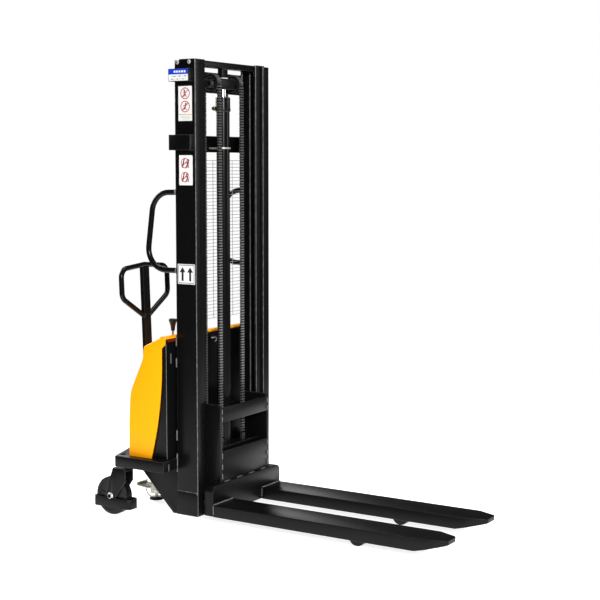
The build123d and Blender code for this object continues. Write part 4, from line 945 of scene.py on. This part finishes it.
class STACKER_OT_casters(Undoable, bpy.types.Operator):
    """Make the swivel wheels with their ribs, hubs and axle bolts"""
    bl_idname = "stacker.casters"
    bl_label = "Casters"

    def execute(self, context):
        for word in ("right", "left"):
            low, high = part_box("caster_wheel_" + word)
            centre = middle("caster_wheel_" + word)
            self.wheel(word, Vector((low.x, centre.y, centre.z)), high.x - low.x, (high.z - low.z) / 2)
            self.axle(word, centre)
        return {"FINISHED"}

    def wheel(self, word, start, width, radius):
        shape = Shape("wheel", "plastic", "rib")
        shoulder = 0.007
        tread = [(radius * 0.8, 0.0)]
        for step in range(7):
            turn = math.pi / 2 * step / 6
            tread.append((radius - shoulder + shoulder * math.sin(turn),
                          shoulder - shoulder * math.cos(turn)))
        self.turn(shape, [(radius * 0.79, 0.004)] + tread, start, width)
        shape.ink = 1
        dish = 0.0115
        self.turn(shape, [(0.0102, 0.002), (0.024, 0.002), (0.0255, dish), (radius * 0.66, dish),
                          (radius * 0.7, 0.0025), (radius * 0.785, 0.0025)], start, width)
        # The ribs take the lighter rib finish, a painted highlight against the black dish
        shape.ink = 2
        for along, rise in ((dish, -0.0075), (width - dish, 0.0075)):
            base = start + X * along
            for spoke in range(6):
                angle = 2 * math.pi * spoke / 6 + 0.3
                out = Vector((0, math.cos(angle), math.sin(angle)))
                tangent = X.cross(out)
                near, far = base + out * 0.022, base + out * radius * 0.7
                foot = [near + tangent * 0.003, near - tangent * 0.003, far - tangent * 0.0022,
                        far + tangent * 0.0022]
                shape.skin([foot, [point + X * rise for point in foot]])
        shape.done("ribbed_wheel_" + word, "rear_wheel_" + word,
                   replaces=["caster_wheel_" + word])

    def turn(self, shape, half, start, width):
        """Turns a profile that is the same from both faces of the wheel."""
        shape.lathe(half + [(radius, width - along) for radius, along in reversed(half)], start, X, 72)

    def axle(self, word, centre):
        low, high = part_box("caster_yoke_" + word)
        shape = Shape("bolt", "ink")
        for direction, face in ((-1, low.x), (1, high.x)):
            cheek = face - direction * 0.009
            start = Vector((cheek, centre.y, centre.z))
            shape.ink = 0
            shape.lathe([(0.0155, 0), (0.0155, 0.0015), (0.015, 0.002)], start, X * direction, 28)
            shape.lathe([(0.0118, 0.0015), (0.0118, 0.0078), (0.0105, 0.0088)], start, X * direction, 24)
            # A black film hexagon on each bolt head: painted shade standing for the hex socket
            shape.ink = 1
            shape.lathe([(0.0048, 0.0086), (0.0048, 0.009)], start, X * direction, 6)
        shape.done("axle_bolts_" + word, "swivel_" + word)


class STACKER_OT_controls(Undoable, bpy.types.Operator):
    """Make the lift lever with its knob, the key switch and the stop button"""
    bl_idname = "stacker.controls"
    bl_label = "Controls"

    def execute(self, context):
        pivot = Vector(JOINTS["lever_throw"]["pos_m"])
        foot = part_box("lift_lever")[1].z - 0.056
        shape = Shape("grip", "bright")
        profile = [(0.0052, -0.0005), (0.0085, 0.0), (0.0092, 0.002), (0.0095, 0.006), (0.0102, 0.014),
                   (0.0125, 0.026), (0.0158, 0.037), (0.018, 0.043), (0.0191, 0.0475), (0.0188, 0.0515),
                   (0.0168, 0.0545), (0.012, 0.0556), (0.006, 0.056)]
        shape.lathe(profile, Vector((pivot.x, pivot.y, foot)), Z, 40)
        shape.ink = 1
        shape.lathe([(0.0048, 0.001), (0.0048, foot - pivot.z)], pivot, Z, 20)
        shape.lathe([(0.009, 0), (0.009, 0.014)], pivot - X * 0.007, X, 28)
        shape.done("lever_knob", "lever", replaces=["lift_lever"])
        self.key(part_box("hood")[1].z)
        self.stop(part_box("hood")[1].z)
        return {"FINISHED"}

    def key(self, top):
        centre = middle("key_switch")
        shape = Shape("bright", "plastic")
        start = Vector((centre.x, centre.y, top))
        shape.lathe([(0.0059, -0.018), (0.0059, 0.0004), (0.0088, 0.0005), (0.0088, 0.0038), (0.008, 0.005)],
                    start, Z, 32)
        shape.ink = 1
        shape.prism(rectangle((-0.0068, 0.005), (0.0068, 0.0208), 0.003), start - X * 0.0013, Y, Z, 0.0026)
        shape.done("key_and_barrel", "key", replaces=["key_switch"])

    def stop(self, top):
        low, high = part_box("stop_button")
        centre = middle("stop_button")
        shape = Shape("red", "plastic")
        start = Vector((centre.x, centre.y, high.z - 0.014))
        shape.ink = 1
        shape.lathe([(0.0059, low.z - start.z), (0.0059, 0.0)], start, Z, 24)
        shape.ink = 0
        shape.lathe([(0.0095, 0.0), (0.0124, 0.0015), (0.0129, 0.005), (0.0126, 0.009), (0.0112, 0.0122),
                     (0.008, 0.0137), (0.004, 0.014)], start, Z, 40)
        shape.done("stop_mushroom", "stop", replaces=["stop_button"])
        shape = Shape("orange_ink")
        shape.lathe([(0.021, 0.0), (0.021, 0.0005)], Vector((centre.x, centre.y, top)), Z, 40)
        shape.done("stop_ring", "chassis")


class STACKER_OT_floor_lock(Undoable, bpy.types.Operator):
    """Make the foot of the floor lock and add the hooks and pivot caps of its pedal"""
    bl_idname = "stacker.floor_lock"
    bl_label = "Floor lock"

    def execute(self, context):
        self.foot()
        self.hooks()
        return {"FINISHED"}

    def foot(self):
        low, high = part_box("lock_foot")
        base = middle("lock_foot")
        base.z = low.z
        height = high.z - low.z
        shape = Shape("rubber", "zinc")
        profile = [(0.029, 0.0), (0.0335, 0.0006), (0.035, 0.003), (0.035, 0.005), (0.0325, 0.0068),
                   (0.0325, 0.0082), (0.0335, 0.009), (0.03, 0.0115), (0.012, 0.012)]
        shape.lathe(profile, base, Z, 48)
        shape.ink = 1
        shape.lathe([(0.02, 0.0115), (0.02, 0.0135), (0.019, 0.0145), (0.0082, 0.0145), (0.008, height)],
                    base, Z, 36)
        shape.done("lock_foot_pad", "foot", replaces=["lock_foot"])

    def hooks(self):
        low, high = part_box("lock_pedal")
        hook = Shape("zinc", "bolt")
        pivot = Vector(JOINTS["pedal_press"]["pos_m"])
        for place in (low.x + 0.0098, high.x - 0.0098):
            corners = ((0.052, 0.024), (0.068, -0.002), (0.052, -0.028), (0.03, -0.034))
            hook.tube(bent([(place, pivot.y + y, pivot.z + z) for y, z in corners], 0.014, 6), 0.0026, 12)
        hook.ink = 1
        for direction, face in ((-1, low.x), (1, high.x)):
            hook.lathe([(0.0075, 0), (0.0075, 0.0012), (0.0068, 0.0016)],
                       Vector((face, pivot.y, pivot.z)), X * direction, 20)
        hook.done("lock_hook", "pedal")


class STACKER_OT_labels(Undoable, bpy.types.Operator):
    """Make the capacity plate and the generic pictogram labels"""
    bl_idname = "stacker.labels"
    bl_label = "Labels"

    def execute(self, context):
        self.thick = sizes().label
        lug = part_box("mast_ties")[0].x
        for face, draw in ((-MAST_X, self.pictures), (lug, self.capacity), (-MAST_X, self.lift_mark)):
            self.face = face
            draw()
        return {"FINISHED"}

    def panel(self, shape, ink, low, high, corner=0.0):
        """A flat sheet on the face, from (y, z) to (y, z)."""
        shape.ink = ink
        outline = rectangle((-high[0], low[1]), (-low[0], high[1]), corner)
        shape.prism(outline, X * self.face, -Y, Z, self.thick)

    def patch(self, shape, ink, points, lift):
        """A printed patch from (y, z) points, just proud of its sheet."""
        shape.ink = ink
        origin = X * (self.face - self.thick - lift)
        area = sum(a[0] * b[1] - b[0] * a[1] for a, b in zip(points, points[1:] + points[:1]))
        ordered = points if area < 0 else points[::-1]
        shape.prism([(-y, z) for y, z in ordered], origin, -Y, Z, 0.00012)

    def ring(self, shape, ink, y, z, radius, width, lift):
        steps, inner = 28, radius - width
        for step in range(steps):
            first, last = (2 * math.pi * (step + end) / steps for end in (0, 1))
            corners = [(y + r * math.cos(turn), z + r * math.sin(turn)) for r, turn in
                       ((radius, first), (radius, last), (inner, last), (inner, first))]
            self.patch(shape, ink, corners, lift)

    def bar(self, shape, ink, start, end, width, lift):
        """A straight stroke between two (y, z) points."""
        (y0, z0), (y1, z1) = start, end
        length = math.hypot(y1 - y0, z1 - z0)
        ny, nz = -(z1 - z0) / length * width / 2, (y1 - y0) / length * width / 2
        corners = [(y0 + ny, z0 + nz), (y1 + ny, z1 + nz), (y1 - ny, z1 - nz), (y0 - ny, z0 - nz)]
        self.patch(shape, ink, corners, lift)

    def disc(self, shape, ink, y, z, radius, lift):
        turns = [2 * math.pi * step / 16 for step in range(16)]
        points = [(y + radius * math.cos(turn), z + radius * math.sin(turn)) for turn in turns]
        self.patch(shape, ink, points, lift)

    def walker(self, shape, y, z, size, lean):
        """A plain round-headed figure that leans forwards or backwards."""
        lift = 0.00002
        self.disc(shape, 1, y + lean * size * 0.5, z + size * 0.72, size * 0.2, lift)
        hip = (y, z - size * 0.1)
        self.bar(shape, 1, (y + lean * size * 0.35, z + size * 0.5), hip, size * 0.3, lift)
        self.bar(shape, 1, hip, (y - size * 0.35, z - size * 0.8), size * 0.2, lift)
        self.bar(shape, 1, hip, (y + size * 0.4, z - size * 0.8), size * 0.2, lift)
        self.bar(shape, 1, (y + lean * size * 0.3, z + size * 0.35), (y + size * 0.6, z + size * 0.05),
                 size * 0.14, lift)

    def banned(self, shape, y, z, radius):
        """A ring with a bar across it."""
        lift = 0.00015
        self.ring(shape, 2, y, z, radius, radius * 0.16, lift)
        reach = radius * 0.7
        self.bar(shape, 2, (y - reach, z + reach), (y + reach, z - reach), radius * 0.16, lift)

    def pictures(self):
        shape = Shape("paper", "ink", "stop_ink", "orange_ink", "green_ink", "pale_ink")
        y0, y1 = DATUM_Y + 0.0890, DATUM_Y + 0.1635
        self.panel(shape, 0, (y0, 1.815), (y1, 1.968), 0.003)
        mid = (y0 + y1) / 2
        for z, lean in ((1.936, 0.5), (1.878, -0.4)):
            self.walker(shape, mid, z, 0.019, lean)
            self.banned(shape, mid, z, 0.0255)
        stripe_z = 1.8435
        self.bar(shape, 3, (y0 + 0.001, stripe_z), (mid, stripe_z), 0.003, 0.00003)
        self.bar(shape, 4, (mid, stripe_z), (y1 - 0.001, stripe_z), 0.003, 0.00003)
        for drop in (0.0, 0.006, 0.012):
            z = stripe_z - 0.008 - drop
            self.bar(shape, 5, (y0 + 0.008, z), (y1 - 0.008 - drop, z), 0.0022, 0.00003)
        y0, y1 = DATUM_Y + 0.088, DATUM_Y + 0.162
        self.panel(shape, 0, (y0, 1.531), (y1, 1.664), 0.003)
        mid = (y0 + y1) / 2
        for z, lean in ((1.629, -0.6), (1.567, 0.2)):
            self.walker(shape, mid - 0.008, z - 0.003, 0.022, lean)
            self.bar(shape, 1, (mid + 0.02, z - 0.02), (mid + 0.008, z + 0.02), 0.006, 0.00002)
            self.banned(shape, mid + 0.004, z, 0.023)
        shape.done("pictogram_labels", "chassis", sharp=20)

    def capacity(self):
        """The plate on the upper lug: a blue head and pale rows, with no lettering."""
        y0, y1 = MAST_FRONT + 0.015, MAST_REAR + 0.006
        z0, z1 = 1.9895, 2.0415
        shape = Shape("paper", "blue_ink", "pale_ink", "ink")
        split = z0 + (z1 - z0) * 0.54
        self.panel(shape, 0, (y0, z0), (y1, split))
        self.panel(shape, 1, (y0, split), (y1, z1))
        width = y1 - y0
        for part in range(5):
            start = y0 + width * (0.12 + part * 0.13)
            z = (split + z1) / 2
            self.bar(shape, 0, (start, z), (start + width * 0.09, z), 0.009, 0.00003)
        for row in range(2):
            for part in range(6):
                start = y0 + width * (0.08 + part * 0.14)
                end = start + width * (0.11 - 0.03 * (part % 2))
                z = z0 + 0.0075 + row * 0.0125
                self.bar(shape, 3 if (row + part) % 2 else 2, (start, z), (end, z), 0.0032, 0.00003)
        shape.done("capacity_plate", "chassis", sharp=20)

    def lift_mark(self):
        """A framed square with two rising arrows."""
        y0, y1, z0, z1 = DATUM_Y + 0.079, DATUM_Y + 0.174, 1.089, 1.179
        shape = Shape("ink", "paper")
        self.panel(shape, 1, (y0, z0), (y1, z1), 0.002)
        for ink, inset, lift in ((0, 0.0035, 0.00002), (1, 0.0065, 0.0001)):
            self.patch(shape, ink, rectangle((y0 + inset, z0 + inset), (y1 - inset, z1 - inset)), lift)
        mid = (y0 + y1) / 2
        for y in (mid - 0.021, mid + 0.021):
            self.bar(shape, 0, (y, z0 + 0.014), (y, z1 - 0.034), 0.011, 0.00018)
            arrow = [(y - 0.0165, z1 - 0.037), (y + 0.0165, z1 - 0.037), (y, z1 - 0.014)]
            self.patch(shape, 0, arrow, 0.00018)
        shape.done("lift_mark", "chassis", sharp=20)


class STACKER_OT_welds(Undoable, bpy.types.Operator):
    """Lay the weld beads of the mast, the carriage and the chassis"""
    bl_idname = "stacker.welds"
    bl_label = "Welds"

    def execute(self, context):
        self.chassis()
        self.carriage()
        return {"FINISHED"}

    def chassis(self):
        shape = Shape("weld")
        foot_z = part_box("mast_foot")[1].z
        for side in SIDES:
            x, y = side * (MAST_X - 0.001), MAST_REAR + 0.001
            for low, high in ((0.804, 0.845), (0.708, 0.749), (0.371, 0.417), (0.226, 0.310)):
                shape.bead((x, y, low), (x, y, high))
            x = side * (MAST_X + 0.001)
            shape.bead((x, MAST_FRONT + 0.004, foot_z), (x, MAST_REAR - 0.002, foot_z), 0.0022)
            dot = Vector((x, MAST_FRONT + 0.002, foot_z))
            shape.bead(dot - Z * 0.007, dot + Z * 0.003, 0.004)
        shape.done("chassis_welds", "chassis")

    def carriage(self):
        """Stitches up the sides of the front plate and along the top of the lower beam."""
        shape = Shape("weld")
        plate_low, plate_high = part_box("carriage_front_plate")
        stitches = ((0.19, 0.024), (0.235, 0.024), (0.285, 0.024), (0.458, 0.02), (0.492, 0.02))
        y = plate_low.y - 0.0002
        for side in SIDES:
            x = side * plate_high.x
            for z, length in stitches:
                shape.bead((x, y, z), (x, y, z + length), 0.003)
        y, z = plate_low.y - 0.001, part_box("lower_beam")[1].z + 0.001
        for x in (-0.15, -0.05, 0.05, 0.15):
            shape.bead((x - 0.02, y, z), (x + 0.02, y, z), 0.003)
        shape.done("carriage_welds", "carriage")


class STACKER_OT_case(Undoable, bpy.types.Operator):
    """Add the painted highlight lines down the case's front edges, the weld marks, the painted-shade strips under
    the hood's lip and the wire clip of the case
    """
    bl_idname = "stacker.case"
    bl_label = "Case details"

    def execute(self, context):
        low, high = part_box("hood_case")
        lip_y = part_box("hood")[0].y + 0.0002
        mark_x, pan_x = 0.322, 0.362
        shape = Shape("paper", "shadow_shell", "weld")
        for side in SIDES:
            shape.ink = 2
            shape.prism(rectangle((-0.0035, -0.023), (0.0035, 0.023), 0.003),
                        Vector((side * mark_x, low.y, high.z - 0.087)), X, Z, 0.002)
            # A thin tube in the light weld finish down each front edge of the case: a painted highlight line
            edge = Vector((side * (high.x - 0.0005), low.y + 0.0005, 0))
            shape.tube([edge + Z * (low.z + 0.004), edge + Z * (high.z - 0.02)], 0.0013, 8)
            pan = Vector((side * pan_x, MAST_REAR - 0.0005, 0))
            shape.bead(pan + Z * 0.241, pan + Z * 0.272, 0.002)
            # Dark red strips in front of the case under the hood's lip: painted shade of the hood's front flange
            shape.ink = 1
            painted_shade_strip = ((0.350, 0.8275), (0.350, 0.8405), (0.252, 0.8405), (0.252, 0.8275))
            shape.prism(rounded([(side * x, z) for x, z in painted_shade_strip], 0.005), Y * lip_y, X, Z, -0.0024 * side)
        shape.ink = 0
        clip = ((-0.004, 0.001, 0.81), (0.027, 0.004, 0.81), (0.029, 0.004, 0.796), (0.02, 0.001, 0.789))
        shape.tube(bent([(x, low.y - out, z) for x, out, z in clip], 0.004, 4), 0.0024, 10)
        shape.done("case_fixings_and_painted_light", "chassis")
        return {"FINISHED"}


FLOOR_RADIUS = 6.0
FLOOR_FADE = (1.6, 4.2)  # where the floor starts to fade into the backdrop and where it is gone
EYE = (-5.0983, DATUM_Y - 3.4407, 1.6224)
YAW, PITCH, ROLL = 1.017, 0.101, 0.001


class STACKER_OT_stage(Undoable, bpy.types.Operator):
    """Make the floor, the soft lights and the camera"""
    bl_idname = "stacker.stage"
    bl_label = "Stage"

    def execute(self, context):
        self.floor()
        self.world()
        self.lights()
        self.camera()
        bpy.context.scene.view_settings.view_transform = "Standard"
        return {"FINISHED"}

    def floor(self):
        finish = Finish("pale_floor")
        reach = finish.node("VectorMath", {"operation": "LENGTH"}, {0: finish.place})["Value"]
        grain = finish.noise(0.5, 3.0)
        tone = finish.mix(grain * 0.5, (0.9, 0.9, 0.9, 1), (0.86, 0.86, 0.86, 1))
        glow = finish.mix(grain * 0.5, (1, 1, 1, 1), (0.97, 0.97, 0.97, 1))
        material = finish.surface(Base_Color=tone, Roughness=0.8, Alpha=1 - reach.between(*FLOOR_FADE),
                                  Emission_Color=glow, Emission_Strength=0.85)
        data = bpy.data.meshes.new("floor")
        mesh = bmesh.new()
        bmesh.ops.create_circle(mesh, cap_ends=True, segments=96, radius=FLOOR_RADIUS)
        mesh.to_mesh(data)
        mesh.free()
        data.materials.append(material)
        floor = link("floor", data)
        floor.location = (0, 0, -0.0005)

    def world(self):
        """A white backdrop that lights the machine only faintly."""
        world = bpy.data.worlds.new("studio")
        bpy.context.scene.world = world
        nodes = Nodes(world)
        seen = nodes.node("LightPath", {}, {})["Is Camera Ray"]
        strength = nodes.node("MapRange", {}, {"Value": seen, "To Min": 0.06, "To Max": 1.0})["Result"]
        sky = nodes.node("Background", {}, {"Color": (1, 1, 1, 1), "Strength": strength})["Background"]
        nodes.node("OutputWorld", {}, {"Surface": sky})

    def lights(self):
        key, fill = colours().key_light, colours().fill_light
        self.area("key", (-4.6, -4.3, 3.0), (0, 0.2, 0.9), 1.6, key)
        self.area("front", (3.6, -5.0, 2.2), (0, 0.2, 0.9), 2.6, fill * 1.3)
        self.area("rear", (0.4, 6.2, 3.4), (0, 0.4, 0.8), 2.6, fill * 5.0)
        self.area("back", (4.6, 4.4, 2.4), (0, 0.2, 0.5), 2.6, fill * 0.7)
        self.area("top", (0.5, 0.3, 5.5), (0, 0.2, 0.5), 3.0, fill * 3.0)

    def area(self, name, place, target, size, power):
        data = bpy.data.lights.new(name, "AREA")
        data.shape = "SQUARE"
        data.size = size
        data.energy = power
        light = link(name, data)
        light.location = place
        light.rotation_euler = (Vector(target) - Vector(place)).to_track_quat("-Z", "Y").to_euler()

    def camera(self):
        data = bpy.data.cameras.new("camera")
        data.lens = 80.08
        data.sensor_width = 36.0
        data.clip_end = 60.0
        camera = link("camera", data)
        level = math.cos(PITCH)
        forward = Vector((math.sin(YAW) * level, math.cos(YAW) * level, -math.sin(PITCH)))
        right = Vector((math.cos(YAW), -math.sin(YAW), 0))
        up = right.cross(forward)
        turn = Matrix((right, up, -forward)).transposed().to_4x4() @ Matrix.Rotation(ROLL, 4, "Z")
        camera.matrix_world = Matrix.Translation(EYE) @ turn
        bpy.context.scene.camera = camera


OPERATORS = (
    STACKER_OT_finishes, STACKER_OT_plates, STACKER_OT_channels, STACKER_OT_forks, STACKER_OT_chains,
    STACKER_OT_head, STACKER_OT_guard, STACKER_OT_rails, STACKER_OT_casters, STACKER_OT_controls,
    STACKER_OT_floor_lock, STACKER_OT_labels, STACKER_OT_welds, STACKER_OT_case, STACKER_OT_stage,
)


class STACKER_PT_sidebar(bpy.types.Panel):
    """Lists the stacker's pieces, sizes and colours"""
    bl_label = "Walkie stacker"
    bl_idname = "STACKER_PT_sidebar"
    bl_space_type = "VIEW_3D"
    bl_region_type = "UI"
    bl_category = "Stacker"

    def draw(self, context):
        for group in (context.scene.stacker_sizes, context.scene.stacker_colours):
            for name in group.__annotations__:
                self.layout.prop(group, name)
        for operator in OPERATORS:
            self.layout.operator(operator.bl_idname)


CLASSES = (StackerSizes, StackerColours) + OPERATORS + (STACKER_PT_sidebar,)


def register():
    for cls in CLASSES:
        bpy.utils.register_class(cls)
    bpy.types.Scene.stacker_sizes = bpy.props.PointerProperty(type=StackerSizes)
    bpy.types.Scene.stacker_colours = bpy.props.PointerProperty(type=StackerColours)


def unregister():
    del bpy.types.Scene.stacker_colours
    del bpy.types.Scene.stacker_sizes
    for cls in reversed(CLASSES):
        bpy.utils.unregister_class(cls)


def main():
    register()
    for operator in OPERATORS:
        group, name = operator.bl_idname.split(".")
        getattr(getattr(bpy.ops, group), name)()


if __name__ == "__main__":
    main()
